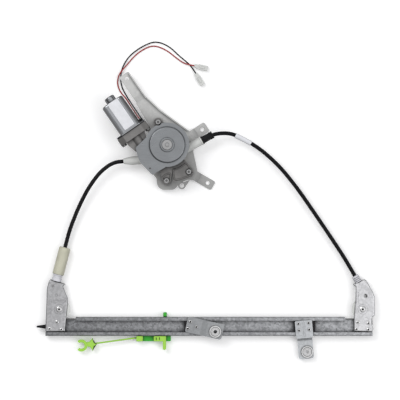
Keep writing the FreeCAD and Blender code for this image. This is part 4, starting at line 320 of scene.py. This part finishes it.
def moulded_skin():
    """Moulded plastic or rubber: slight mottling, painted shade on walls and in crevices, dust and
    a fine grain.
    """
    group, entry, leave = effect(
        "moulded_skin",
        [
            ("Colour", "NodeSocketColor", (0.5, 0.5, 0.5, 1.0)),
            ("Dust", "NodeSocketFloat", 0.1),
            ("Low", "NodeSocketFloat", 0.35),
            ("High", "NodeSocketFloat", 0.5),
        ],
        SKIN_OUTPUTS,
    )
    coords = group.nodes.new("ShaderNodeTexCoord")
    place = coords.outputs["Object"]
    mottle = spread(group, noise(group, place, 80.0, 4.0), 0.3, 0.7, 0.92, 1.06)
    # Painted shade on walls and in crevices of the mouldings
    painted_shade = painted_wall_and_nook_shade(group, coords, 0.8)
    toned = brighten(group, entry.outputs["Colour"], combine(group, "MULTIPLY", mottle, painted_shade))
    patches = spread(group, noise(group, place, 35.0, 6.0, 0.7), 0.5, 0.8, 0.0, 1.0)
    veil = combine(group, "MULTIPLY", patches, entry.outputs["Dust"])
    group.links.new(blended(group, veil, toned, DUST_COLOUR), leave.inputs["Colour"])
    grain = noise(group, place, 420.0, 3.0)
    group.links.new(
        spread(group, grain, 0.3, 0.7, entry.outputs["Low"], entry.outputs["High"]),
        leave.inputs["Roughness"],
    )
    group.links.new(noise(group, place, 1400.0, 2.0), leave.inputs["Height"])


def finish(name, group, metallic, bump, gloss, **values):
    """A material whose colour, roughness and grain come from one effect."""
    material = bpy.data.materials.new(f"{name}_finish")
    material.use_nodes = True
    tree = material.node_tree
    skin = tree.nodes["Principled BSDF"]
    skin.inputs["Metallic"].default_value = metallic
    skin.inputs["Specular IOR Level"].default_value = gloss
    node = tree.nodes.new("ShaderNodeGroup")
    node.node_tree = bpy.data.node_groups[group]
    for label, value in values.items():
        socket = node.inputs[label]
        socket.default_value = (*value, 1.0) if socket.type == "RGBA" else value
    tree.links.new(node.outputs["Colour"], skin.inputs["Base Color"])
    tree.links.new(node.outputs["Roughness"], skin.inputs["Roughness"])
    relief = tree.nodes.new("ShaderNodeBump")
    relief.inputs["Strength"].default_value = bump
    relief.inputs["Distance"].default_value = GRAIN_DEPTH
    tree.links.new(node.outputs["Height"], relief.inputs["Height"])
    tree.links.new(relief.outputs["Normal"], skin.inputs["Normal"])
    return material


def give(parts, material):
    """Puts a material on the CAD nodes of the named slots and on the nodes named themselves."""
    for node, slot in SLOTS.items():
        if slot in parts or node in parts:
            data = NODES[node].data
            data.materials.clear()
            data.materials.append(material)


# Operators


def step(cls):
    """Lets the step be repeated and undone from the panel."""
    cls.bl_options = {"REGISTER", "UNDO"}
    return cls


@step
class REGULATOR_OT_effects(bpy.types.Operator):
    """Builds the effects that the finishes share"""

    bl_idname = "regulator.effects"
    bl_label = "Shared effects"

    def execute(self, context):
        zinc_flakes()
        satin_marks()
        moulded_skin()
        return {"FINISHED"}


@step
class REGULATOR_OT_metals(bpy.types.Operator):
    """Gives sheet, castings, cable and fasteners their metal finishes"""

    bl_idname = "regulator.metals"
    bl_label = "Metal finishes"

    def execute(self, context):
        tone = context.scene.regulator_metals
        flakes = 1.0 / tone.flake
        # Columns: name, slot, metallic, colour, spangle contrast, bloom, painted wall shade (below
        # 1 painted shade, above 1 painted light), reach of the painted crevice shade, painted
        # light lean per metre
        for name, part, metallic, colour, contrast, bloom, painted_wall_shade, reach, painted_light_lean in (
            ("rail_zinc", "galvanised_rail", 0.9, tone.rail, 0.3, 0.2, 0.6, 0.012, (1.3, 0, 0)),
            ("pan_zinc", "galvanised_pan", 0.9, tone.pan, 0.14, 0.08, 0.5, 0.005, (0.7, 0, 0)),
            ("tab_zinc", "galvanised_bracket", 0.1, tone.tab, 0.1, 0.1, 1.1, 0.002, (1.6, 0, 0)),
            ("tab_b_zinc", "glass_bracket_b", 0.3, tone.tab, 0.1, 0.1, 0.7, 0.003, (4.6, 0, 0)),
            ("plate_zinc", "plate_steel", 0.1, tone.plate, 0.05, 0.08, 0.9, 0.006, (0, 4.0, 0)),
        ):
            material = finish(
                name, "zinc_flakes", metallic, 0.15, 0.5,
                Colour=colour, Flakes=flakes, Contrast=contrast, Bloom=bloom, Sides=painted_wall_shade,
                Reach=reach, Drift=painted_light_lean,
            )
            give((part,), material)
        # Columns: name, slots, colour, metallic, blotches, roughness low and high, painted wall
        # shade (it also sets the painted crevice shade), bump
        for name, slots, colour, metallic, blotches, low, high, painted_wall_shade, bump in (
            ("can_zinc", ("can_zinc",), tone.can, 1.0, 0.05, 0.14, 0.22, 0.14, 0.01),
            ("cast_case", ("cast_case",), tone.casting, 0.6, 0.2, 0.32, 0.48, 0.6, 0.3),
            ("cover_satin", ("cover_paint",), tone.cover, 0.9, 0.05, 0.26, 0.34, 0.8, 0.03),
            ("bright_steel", ("bright_steel",), tone.steel, 0.9, 0.08, 0.22, 0.38, 0.4, 0.1),
            ("screw_steel", ("screw_steel", "core_steel", "gear_axle"), tone.screw,
             0.9, 0.08, 0.22, 0.38, 0.4, 0.1),
            ("cable_steel", ("cable_steel", "spring_steel"), tone.cable,
             0.8, 0.1, 0.35, 0.5, 0.5, 0.3),
            ("ferrite", ("ferrite",), (0.05, 0.05, 0.055), 0.2, 0.1, 0.6, 0.75, 1.0, 0.4),
            ("copper", ("winding_copper",), (0.72, 0.33, 0.18), 0.9, 0.12, 0.28, 0.4, 0.7, 0.3),
            ("bronze", ("bush_bronze",), (0.60, 0.43, 0.22), 0.85, 0.12, 0.4, 0.55, 0.7, 0.4),
        ):
            material = finish(
                name, "satin_marks", metallic, bump, 0.5,
                Colour=tuple(colour), Blotches=blotches, Low=low, High=high, Sides=painted_wall_shade,
                Reach=CASE_REACH if name == "cast_case" else EDGE_REACH,
            )
            give(slots, material)
        return {"FINISHED"}


@step
class REGULATOR_OT_plastics(bpy.types.Operator):
    """Gives mouldings, casings and rubber their finishes"""

    bl_idname = "regulator.plastics"
    bl_label = "Plastic finishes"

    def execute(self, context):
        tone = context.scene.regulator_plastics
        for name, slots, colour, gloss, dust, low, high in (
            ("cream_nylon", ("cream_nylon",), tone.cream, 0.4, 0.05, 0.38, 0.5),
            ("pale_nylon", ("white_nylon",), tone.pale, 0.4, 0.03, 0.35, 0.48),
            ("natural_nylon", ("natural_nylon", "wheel_nylon", "pulley_nylon", "plug_nylon"),
             tone.natural, 0.4, 0.06, 0.4, 0.52),
            ("black_moulding", ("black_nylon", "drum_nylon"), tone.black, 0.25, 0.02, 0.35, 0.5),
            ("black_casing", ("conduit_black",), tone.black, 0.12, 0.01, 0.3, 0.42),
            ("black_rubber", ("black_rubber", "damper_rubber"), tone.black, 0.2, 0.02, 0.5, 0.68),
            ("black_lead", ("lead_black",), tone.black, 0.12, 0.01, 0.35, 0.45),
            ("red_lead", ("lead_red",), tone.red, 0.25, 0.03, 0.3, 0.42),
            ("lime_nylon", ("lime_nylon",), tone.lime, 0.4, 0.03, 0.32, 0.44),
            # Darker green of the clip bar: partly its thickness, partly painted shade
            ("green_nylon", ("dark_green_nylon",), tone.green, 0.4, 0.05, 0.35, 0.48),
            ("label_paper", (), tone.paper, 0.3, 0.06, 0.45, 0.58),
        ):
            material = finish(
                name, "moulded_skin", 0.0, 0.2, gloss,
                Colour=tuple(colour), Dust=dust, Low=low, High=high,
            )
            give(slots, material)
        return {"FINISHED"}


# Helpers that shape pieces

MILLIMETRE = 0.001
SAME_PLACE = 1e-6


def smooth_tube(name, route, radius):
    """A round tube on one smooth spline through a route's control points."""
    data = bpy.data.curves.new(name, "CURVE")
    data.dimensions = "3D"
    spline = data.splines.new("NURBS")
    spline.points.add(len(route) - 1)
    for point, place in zip(spline.points, route):
        point.co = (*(Vector(place) * MILLIMETRE), 1.0)
    spline.order_u = 3
    spline.use_endpoint_u = True
    data.bevel_depth = radius
    data.bevel_resolution = 5
    data.resolution_u = 10
    data.use_fill_caps = True
    piece = bpy.data.objects.new(name, data)
    bpy.context.scene.collection.objects.link(piece)
    return piece


def pick(piece):
    """Makes a piece the active one and the only one that is selected."""
    bpy.ops.object.select_all(action="DESELECT")
    piece.select_set(True)
    bpy.context.view_layer.objects.active = piece


def settle(piece):
    """Applies an object's place, turn and size to its mesh."""
    pick(piece)
    bpy.ops.object.transform_apply(location=True, rotation=True, scale=True)


def to_open_mesh(tube):
    """Turns a tube into a mesh without end caps."""
    tube.data.use_fill_caps = False
    pick(tube)
    bpy.ops.object.convert(target="MESH")


# Routes of the leads in millimetres, from the grommet on the motor to their plugs, and
# their lengths in metres

BLACK_ROUTE = [
    (-102.81, 155.25, 36.0), (-108.35, 163.63, 33.0), (-114.43, 172.80, 20.0),
    (-120.11, 181.03, 6.0), (-127.56, 192.90, 1.1), (-134.6, 205.5, 1.1), (-136.6, 221.0, 1.1),
    (-133.4, 238.0, 1.1), (-121.5, 256.5, 1.1), (-101.5, 270.8, 1.1), (-80.5, 279.5, 1.1),
    (-59.0, 271.5, 1.1), (-42.5, 255.5, 1.1), (-27.5, 243.5, 1.1), (-20.8, 235.4, 2.0),
    (-16.0, 227.4, 3.8),
]
RED_ROUTE = [
    (-105.11, 153.66, 36.0), (-110.17, 161.16, 33.5), (-115.76, 169.45, 18.0),
    (-121.28, 177.79, 4.0), (-128.33, 188.72, 1.1), (-136.6, 197.5, 1.1), (-141.0, 209.0, 1.1),
    (-140.6, 219.0, 2.3), (-138.2, 226.0, 4.5), (-133.2, 232.6, 4.5), (-126.6, 240.6, 1.7),
    (-113.0, 256.5, 1.1), (-98.0, 267.2, 1.1), (-82.5, 272.8, 1.1), (-62.0, 264.5, 1.1),
    (-47.0, 252.0, 1.1), (-35.0, 243.6, 2.5), (-26.0, 241.2, 3.8), (-17.9, 239.5, 3.8),
]
BLACK_LENGTH = 0.2585
RED_LENGTH = 0.2468


@step
class REGULATOR_OT_leads(bpy.types.Operator):
    """Lays the black and the red lead from the motor to their plugs"""

    bl_idname = "regulator.leads"
    bl_label = "Motor leads"

    def execute(self, context):
        size = context.scene.regulator_sizes
        for colour, route, length, slot in (
            ("black", BLACK_ROUTE, BLACK_LENGTH, "lead_black"),
            ("red", RED_ROUTE, RED_LENGTH, "lead_red"),
        ):
            piece = smooth_tube(f"{colour}_motor_lead", route, size.lead / 2)
            piece.data.materials.append(bpy.data.materials[f"{colour}_lead_finish"])
            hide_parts(f"{colour}_lead")
            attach(piece, "frame")
        return {"FINISHED"}


# Small forms that are shaped on the finished parts

# Rivet ends: how far they stand up in metres, and shares of that
HEAD_HEIGHT = 0.0004
RIM_SLOPE = 0.4
RIM_RISE = 0.3
BORE_DROP = 1.2
# Node, body, radius of the end and radius of its bore
STUD_SETS = (
    ("bracket_rivets", "frame", 0.0021, 0.0014),
    ("pulley_axles", "frame", 0.0033, 0.0018),
    ("rivets_a", "carriage_a", 0.0021, 0.0016),
    ("rivets_b", "carriage_b", 0.0022, 0.0016),
)
# Star of the clip in millimetres, and its rounding in metres
STAR_MIDDLE = (-181.0, -205.2)
STAR_LEVEL = (5.9, 10.9)
STAR_CORNER = 0.0007
STAR_CHAMFER = 0.0005
STAR_RISE = 0.0004
STAR_POINTS = (
    (-10.0, -3.0), (-3.6, -4.2), (0.8, -10.8), (2.8, -3.2), (7.6, -0.6), (2.8, 2.6), (0.0, 10.6),
    (-3.6, 4.2), (-10.0, 3.0),
)
# Rims of the gear case in millimetres, and their radius in metres
RIB_LEVEL = 32.3
RIB_RADIUS = 0.0011
RIB_ROUTES = (
    ((-52.0, 72.2), (-51.2, 66.0), (-50.2, 58.2), (-48.5, 57.0), (-43.0, 57.4), (-31.0, 61.0),
     (-22.5, 65.2), (-20.0, 67.4), (-20.6, 70.6), (-29.5, 81.8), (-31.5, 83.0), (-34.0, 81.6),
     (-40.0, 77.0), (-46.0, 74.4), (-51.0, 73.6)),
    ((-57.4, 67.2), (-60.0, 67.2), (-67.4, 62.6), (-68.6, 60.8), (-66.8, 54.4), (-65.0, 52.2),
     (-61.5, 51.4), (-58.0, 52.4), (-56.4, 54.5), (-56.0, 60.0), (-56.2, 66.0)),
)


def crowns(node):
    """Middle of the top of each separate solid in a CAD node, such as each rivet's head."""
    shape = bmesh.new()
    shape.from_mesh(NODES[node].data)
    bmesh.ops.remove_doubles(shape, verts=shape.verts, dist=SAME_PLACE)
    left = set(shape.verts)
    tops = []
    while left:
        reached = [left.pop()]
        solid = list(reached)
        while reached:
            for edge in reached.pop().link_edges:
                for vertex in edge.verts:
                    if vertex in left:
                        left.remove(vertex)
                        reached.append(vertex)
                        solid.append(vertex)
        x = (min(v.co.x for v in solid) + max(v.co.x for v in solid)) / 2
        y = (min(v.co.y for v in solid) + max(v.co.y for v in solid)) / 2
        tops.append(Vector((x, y, max(v.co.z for v in solid))))
    shape.free()
    return sorted(tops, key=lambda top: (top.x, top.y))


def pick_top(piece):
    """Selects the faces at the very top of the piece in edit mode."""
    shape = bmesh.from_edit_mesh(piece.data)
    bpy.ops.mesh.select_all(action="DESELECT")
    highest = max(vertex.co.z for vertex in shape.verts)
    for face in shape.faces:
        if all(highest - vertex.co.z < SAME_PLACE for vertex in face.verts):
            face.select = True
    bmesh.update_edit_mesh(piece.data)


def hollow_head(name, radius, core, height):
    """A low round rivet end standing on the origin, with a shallow bore whose black floor is
    painted shade.
    """
    bpy.ops.object.select_all(action="DESELECT")
    bpy.ops.mesh.primitive_cylinder_add(
        vertices=32, radius=radius, depth=height, location=(0.0, 0.0, height / 2)
    )
    head = bpy.context.active_object
    head.name = name
    bpy.ops.object.transform_apply(location=True, rotation=False, scale=False)
    head.data.materials.append(bpy.data.materials["bright_steel_finish"])
    head.data.materials.append(bpy.data.materials["black_moulding_finish"])
    bpy.ops.object.mode_set(mode="EDIT")
    pick_top(head)
    bpy.ops.mesh.inset(thickness=radius - core - height * RIM_SLOPE)
    bpy.ops.transform.translate(value=(0.0, 0.0, height * RIM_RISE))
    bpy.ops.mesh.inset(thickness=height * RIM_SLOPE)
    bpy.ops.mesh.extrude_region_move(
        TRANSFORM_OT_translate={"value": (0.0, 0.0, -height * BORE_DROP)}
    )
    # The black moulding finish on the bore is painted shade, standing in for the shade down a
    # deeper hollow
    head.active_material_index = 1
    bpy.ops.object.material_slot_assign()
    bpy.ops.object.mode_set(mode="OBJECT")
    return head


@step
class REGULATOR_OT_rivet_ends(bpy.types.Operator):
    """Turns the hollow ends of the rivets and of the pulleys' axles"""

    bl_idname = "regulator.rivet_ends"
    bl_label = "Rivet ends"

    def execute(self, context):
        for node, body, radius, core in STUD_SETS:
            master = hollow_head(f"{node}_end", radius, core, HEAD_HEIGHT)
            for number, top in enumerate(crowns(node)):
                end = master.copy()
                end.data = master.data.copy()
                end.name = f"{node}_end_{number + 1}"
                end.location = top
                context.scene.collection.objects.link(end)
                settle(end)
                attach(end, body)
            bpy.data.meshes.remove(master.data)
        return {"FINISHED"}


@step
class REGULATOR_OT_clip_star(bpy.types.Operator):
    """Shapes the flat star between the clip's arm and its fork"""

    bl_idname = "regulator.clip_star"
    bl_label = "Clip star"

    def execute(self, context):
        bpy.ops.object.select_all(action="DESELECT")
        bpy.ops.mesh.primitive_circle_add(vertices=len(STAR_POINTS), fill_type="NGON")
        star = context.active_object
        star.name = "clip_star"
        low, high = STAR_LEVEL
        for corner, (x, y) in zip(star.data.vertices, STAR_POINTS):
            corner.co = Vector((STAR_MIDDLE[0] + x, STAR_MIDDLE[1] + y, low)) * MILLIMETRE
        bpy.ops.object.mode_set(mode="EDIT")
        bpy.ops.mesh.select_all(action="SELECT")
        bpy.ops.mesh.bevel(offset=STAR_CORNER, segments=3, affect="VERTICES")
        bpy.ops.mesh.select_all(action="SELECT")
        bpy.ops.mesh.extrude_region_move(
            TRANSFORM_OT_translate={"value": (0.0, 0.0, (high - low) * MILLIMETRE)}
        )
        bpy.ops.mesh.select_all(action="SELECT")
        bpy.ops.mesh.normals_make_consistent(inside=False)
        pick_top(star)
        bpy.ops.mesh.inset(thickness=STAR_CHAMFER)
        bpy.ops.transform.translate(value=(0.0, 0.0, STAR_RISE))
        bpy.ops.object.mode_set(mode="OBJECT")
        settle(star)
        star.data.materials.append(bpy.data.materials["lime_nylon_finish"])
        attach(star, "frame")
        return {"FINISHED"}


@step
class REGULATOR_OT_case_ribs(bpy.types.Operator):
    """Raises the rims round the two lower screws of the gear case"""

    bl_idname = "regulator.case_ribs"
    bl_label = "Gear case ribs"

    def execute(self, context):
        for number, outline in enumerate(RIB_ROUTES):
            route = [(x, y, RIB_LEVEL) for x, y in outline]
            rib = smooth_tube(f"case_rib_{number + 1}", route, RIB_RADIUS)
            rib.data.splines[0].use_endpoint_u = False
            rib.data.splines[0].use_cyclic_u = True
            to_open_mesh(rib)
            rib.data.materials.append(bpy.data.materials["cast_case_finish"])
            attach(rib, "frame")
        return {"FINISHED"}


# Blank labels: places in millimetres, the rest in metres

MOTOR_TURN = math.radians(-55.4)
LABEL_PLACE = (-133.9, 160.6, 50.0)
LABEL_CORNER = 0.0012
TAG_SHEET = 0.0003
# A stretch of the right casing, and the part of it that the tag covers
TAG_ROUTE = [(38.0, 131.6, 20.4), (58.0, 124.0, 19.3), (88.0, 105.5, 17.6)]
TAG_SPAN = (0.22, 0.72)


@step
class REGULATOR_OT_motor_label(bpy.types.Operator):
    """Sticks a blank label on the flat of the motor can"""

    bl_idname = "regulator.motor_label"
    bl_label = "Motor label"

    def execute(self, context):
        size = context.scene.regulator_sizes
        bpy.ops.object.select_all(action="DESELECT")
        bpy.ops.mesh.primitive_plane_add(size=1.0, location=Vector(LABEL_PLACE) * MILLIMETRE)
        label = context.active_object
        label.name = "motor_label"
        label.scale = (size.label_length, size.label_width, 1.0)
        bpy.ops.object.transform_apply(location=False, rotation=False, scale=True)
        bpy.ops.object.mode_set(mode="EDIT")
        bpy.ops.mesh.select_all(action="SELECT")
        bpy.ops.mesh.bevel(offset=LABEL_CORNER, segments=4, affect="VERTICES")
        bpy.ops.mesh.select_all(action="SELECT")
        bpy.ops.mesh.extrude_region_move(
            TRANSFORM_OT_translate={"value": (0.0, 0.0, size.label_sheet)}
        )
        bpy.ops.mesh.select_all(action="SELECT")
        bpy.ops.mesh.normals_make_consistent(inside=False)
        bpy.ops.object.mode_set(mode="OBJECT")
        label.rotation_euler = (0.0, 0.0, MOTOR_TURN)
        settle(label)
        label.data.materials.append(bpy.data.materials["label_paper_finish"])
        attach(label, "frame")
        return {"FINISHED"}


@step
class REGULATOR_OT_casing_tag(bpy.types.Operator):
    """Wraps a blank paper tag round the right casing"""

    bl_idname = "regulator.casing_tag"
    bl_label = "Casing tag"

    def execute(self, context):
        size = context.scene.regulator_sizes
        tag = smooth_tube("casing_tag", TAG_ROUTE, size.tag_radius)
        tag.data.bevel_resolution = 8
        tag.data.resolution_u = 24
        tag.data.bevel_factor_start, tag.data.bevel_factor_end = TAG_SPAN
        to_open_mesh(tag)
        wall = tag.modifiers.new("paper", "SOLIDIFY")
        wall.thickness = TAG_SHEET
        wall.offset = -1.0
        bpy.ops.object.modifier_apply(modifier=wall.name)
        bpy.ops.object.shade_smooth_by_angle(angle=math.radians(40.0))
        settle(tag)
        tag.data.materials.append(bpy.data.materials["label_paper_finish"])
        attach(tag, "frame")
        return {"FINISHED"}


# Stage: floor, light and camera

TABLE_SIZE = 12.0
TABLE_LEVEL = -0.0002
TABLE_GLOW = 0.16
TABLE_SHADE = (0.6, 0.6, 0.6, 1.0)
WHITE = (1.0, 1.0, 1.0, 1.0)
# Name, place, side in metres and watts
LAMPS = (
    ("key_light", (-1.6, 1.5, 2.4), 1.6, 34.0),
    ("fill_light", (1.9, -0.6, 2.2), 1.8, 14.0),
)
# Brightness of the studio, from the horizon (0) to straight above (1)
SKY = (
    (0.0, 0.8), (0.1, 0.75), (0.14, 0.18), (0.5, 0.2), (0.6, 0.5), (0.8, 0.8), (0.92, 1.0),
    (1.0, 1.0),
)
# Share of it from front to back, and from left to right
SKY_DEPTH = (0.7, 1.3)
SKY_WIDTH = (0.75, 1.25)
SKY_BLUE = 1.01
LOOK_AT = (-0.0091, 0.025)
SENSOR = 36.0


def seen_directly(tree):
    """Socket that is 1 where the eye, a gloss or a clear piece shows the floor."""
    path = tree.nodes.new("ShaderNodeLightPath")
    either = combine(tree, "MAXIMUM", path.outputs["Is Camera Ray"], path.outputs["Is Glossy Ray"])
    return combine(tree, "MAXIMUM", either, path.outputs["Is Transmission Ray"])


@step
class REGULATOR_OT_stage(bpy.types.Operator):
    """Sets the pale table, the soft light and the camera straight above"""

    bl_idname = "regulator.stage"
    bl_label = "Stage"

    def execute(self, context):
        size = context.scene.regulator_sizes
        self.lay_floor()
        self.hang_lights()
        self.light_sky(context.scene)
        data = bpy.data.cameras.new("camera")
        data.lens = SENSOR * size.camera_height / size.view_width
        data.sensor_width = SENSOR
        data.clip_end = 50.0
        camera = bpy.data.objects.new("camera", data)
        camera.location = (*LOOK_AT, size.camera_height)
        context.scene.collection.objects.link(camera)
        context.scene.camera = camera
        context.scene.view_settings.view_transform = "Standard"
        return {"FINISHED"}

    def lay_floor(self):
        """A table that looks white and casts less light back on the part."""
        bpy.ops.object.select_all(action="DESELECT")
        bpy.ops.mesh.primitive_plane_add(size=TABLE_SIZE, location=(0.0, 0.0, TABLE_LEVEL))
        floor = bpy.context.active_object
        floor.name = "table"
        material = bpy.data.materials.new("table_white")
        material.use_nodes = True
        tree = material.node_tree
        tree.nodes.clear()
        out = tree.nodes.new("ShaderNodeOutputMaterial")
        paint = tree.nodes.new("ShaderNodeBsdfDiffuse")
        glow = tree.nodes.new("ShaderNodeEmission")
        glow.inputs["Strength"].default_value = TABLE_GLOW
        both = tree.nodes.new("ShaderNodeAddShader")
        tone = tree.nodes.new("ShaderNodeMix")
        tone.data_type = "RGBA"
        tone.inputs["A"].default_value = TABLE_SHADE
        tone.inputs["B"].default_value = WHITE
        tree.links.new(seen_directly(tree), tone.inputs["Factor"])
        tree.links.new(tone.outputs["Result"], paint.inputs["Color"])
        tree.links.new(paint.outputs[0], both.inputs[0])
        tree.links.new(glow.outputs[0], both.inputs[1])
        tree.links.new(both.outputs[0], out.inputs["Surface"])
        floor.data.materials.append(material)

    def hang_lights(self):
        """Two square lamps turned to the part."""
        for name, place, side, watts in LAMPS:
            data = bpy.data.lights.new(name, "AREA")
            data.size = side
            data.energy = watts
            lamp = bpy.data.objects.new(name, data)
            lamp.location = place
            lamp.rotation_euler = (-Vector(place)).to_track_quat("-Z", "Y").to_euler()
            bpy.context.scene.collection.objects.link(lamp)

    def light_sky(self, scene):
        """A studio with a darker band above the horizon for metals to mirror."""
        world = bpy.data.worlds.new("studio")
        scene.world = world
        world.use_nodes = True
        tree = world.node_tree
        tree.nodes.clear()
        out = tree.nodes.new("ShaderNodeOutputWorld")
        sky = tree.nodes.new("ShaderNodeBackground")
        place = tree.nodes.new("ShaderNodeTexCoord")
        split = tree.nodes.new("ShaderNodeSeparateXYZ")
        tree.links.new(place.outputs["Generated"], split.inputs[0])
        ramp = tree.nodes.new("ShaderNodeValToRGB")
        stops = ramp.color_ramp.elements
        for height, _ in SKY[1:-1]:
            stops.new(height)
        for stop, (height, level) in zip(stops, SKY):
            stop.position = height
            stop.color = (level, level, level * SKY_BLUE, 1.0)
        tree.links.new(split.outputs["Z"], ramp.inputs["Fac"])
        depth = spread(tree, split.outputs["Y"], -1.0, 1.0, *SKY_DEPTH)
        width = spread(tree, split.outputs["X"], -0.5, 0.5, *SKY_WIDTH)
        lean = combine(tree, "MULTIPLY", depth, width)
        tree.links.new(brighten(tree, ramp.outputs["Color"], lean), sky.inputs["Color"])
        tree.links.new(sky.outputs[0], out.inputs["Surface"])


class REGULATOR_PT_panel(bpy.types.Panel):
    """Lists the regulator's settings and steps"""

    bl_idname = "REGULATOR_PT_panel"
    bl_label = "Window regulator"
    bl_space_type = "VIEW_3D"
    bl_region_type = "UI"
    bl_category = "Regulator"

    def draw(self, context):
        for group in (
            context.scene.regulator_metals,
            context.scene.regulator_plastics,
            context.scene.regulator_sizes,
        ):
            box = self.layout.box()
            for setting in group.__annotations__:
                box.prop(group, setting)
        for operator in STEPS:
            self.layout.operator(operator.bl_idname)


STEPS = (
    REGULATOR_OT_effects,
    REGULATOR_OT_metals,
    REGULATOR_OT_plastics,
    REGULATOR_OT_leads,
    REGULATOR_OT_rivet_ends,
    REGULATOR_OT_clip_star,
    REGULATOR_OT_case_ribs,
    REGULATOR_OT_motor_label,
    REGULATOR_OT_casing_tag,
    REGULATOR_OT_stage,
)
GROUPS = (
    ("regulator_metals", RegulatorMetals),
    ("regulator_plastics", RegulatorPlastics),
    ("regulator_sizes", RegulatorSizes),
)


def register():
    for name, group in GROUPS:
        bpy.utils.register_class(group)
        setattr(bpy.types.Scene, name, PointerProperty(type=group))
    for operator in STEPS:
        bpy.utils.register_class(operator)
    bpy.utils.register_class(REGULATOR_PT_panel)


def unregister():
    bpy.utils.unregister_class(REGULATOR_PT_panel)
    for operator in reversed(STEPS):
        bpy.utils.unregister_class(operator)
    for name, group in reversed(GROUPS):
        delattr(bpy.types.Scene, name)
        bpy.utils.unregister_class(group)


def main():
    register()
    for operator in STEPS:
        space, name = operator.bl_idname.split(".")
        getattr(getattr(bpy.ops, space), name)()


if __name__ == "__main__":
    main()
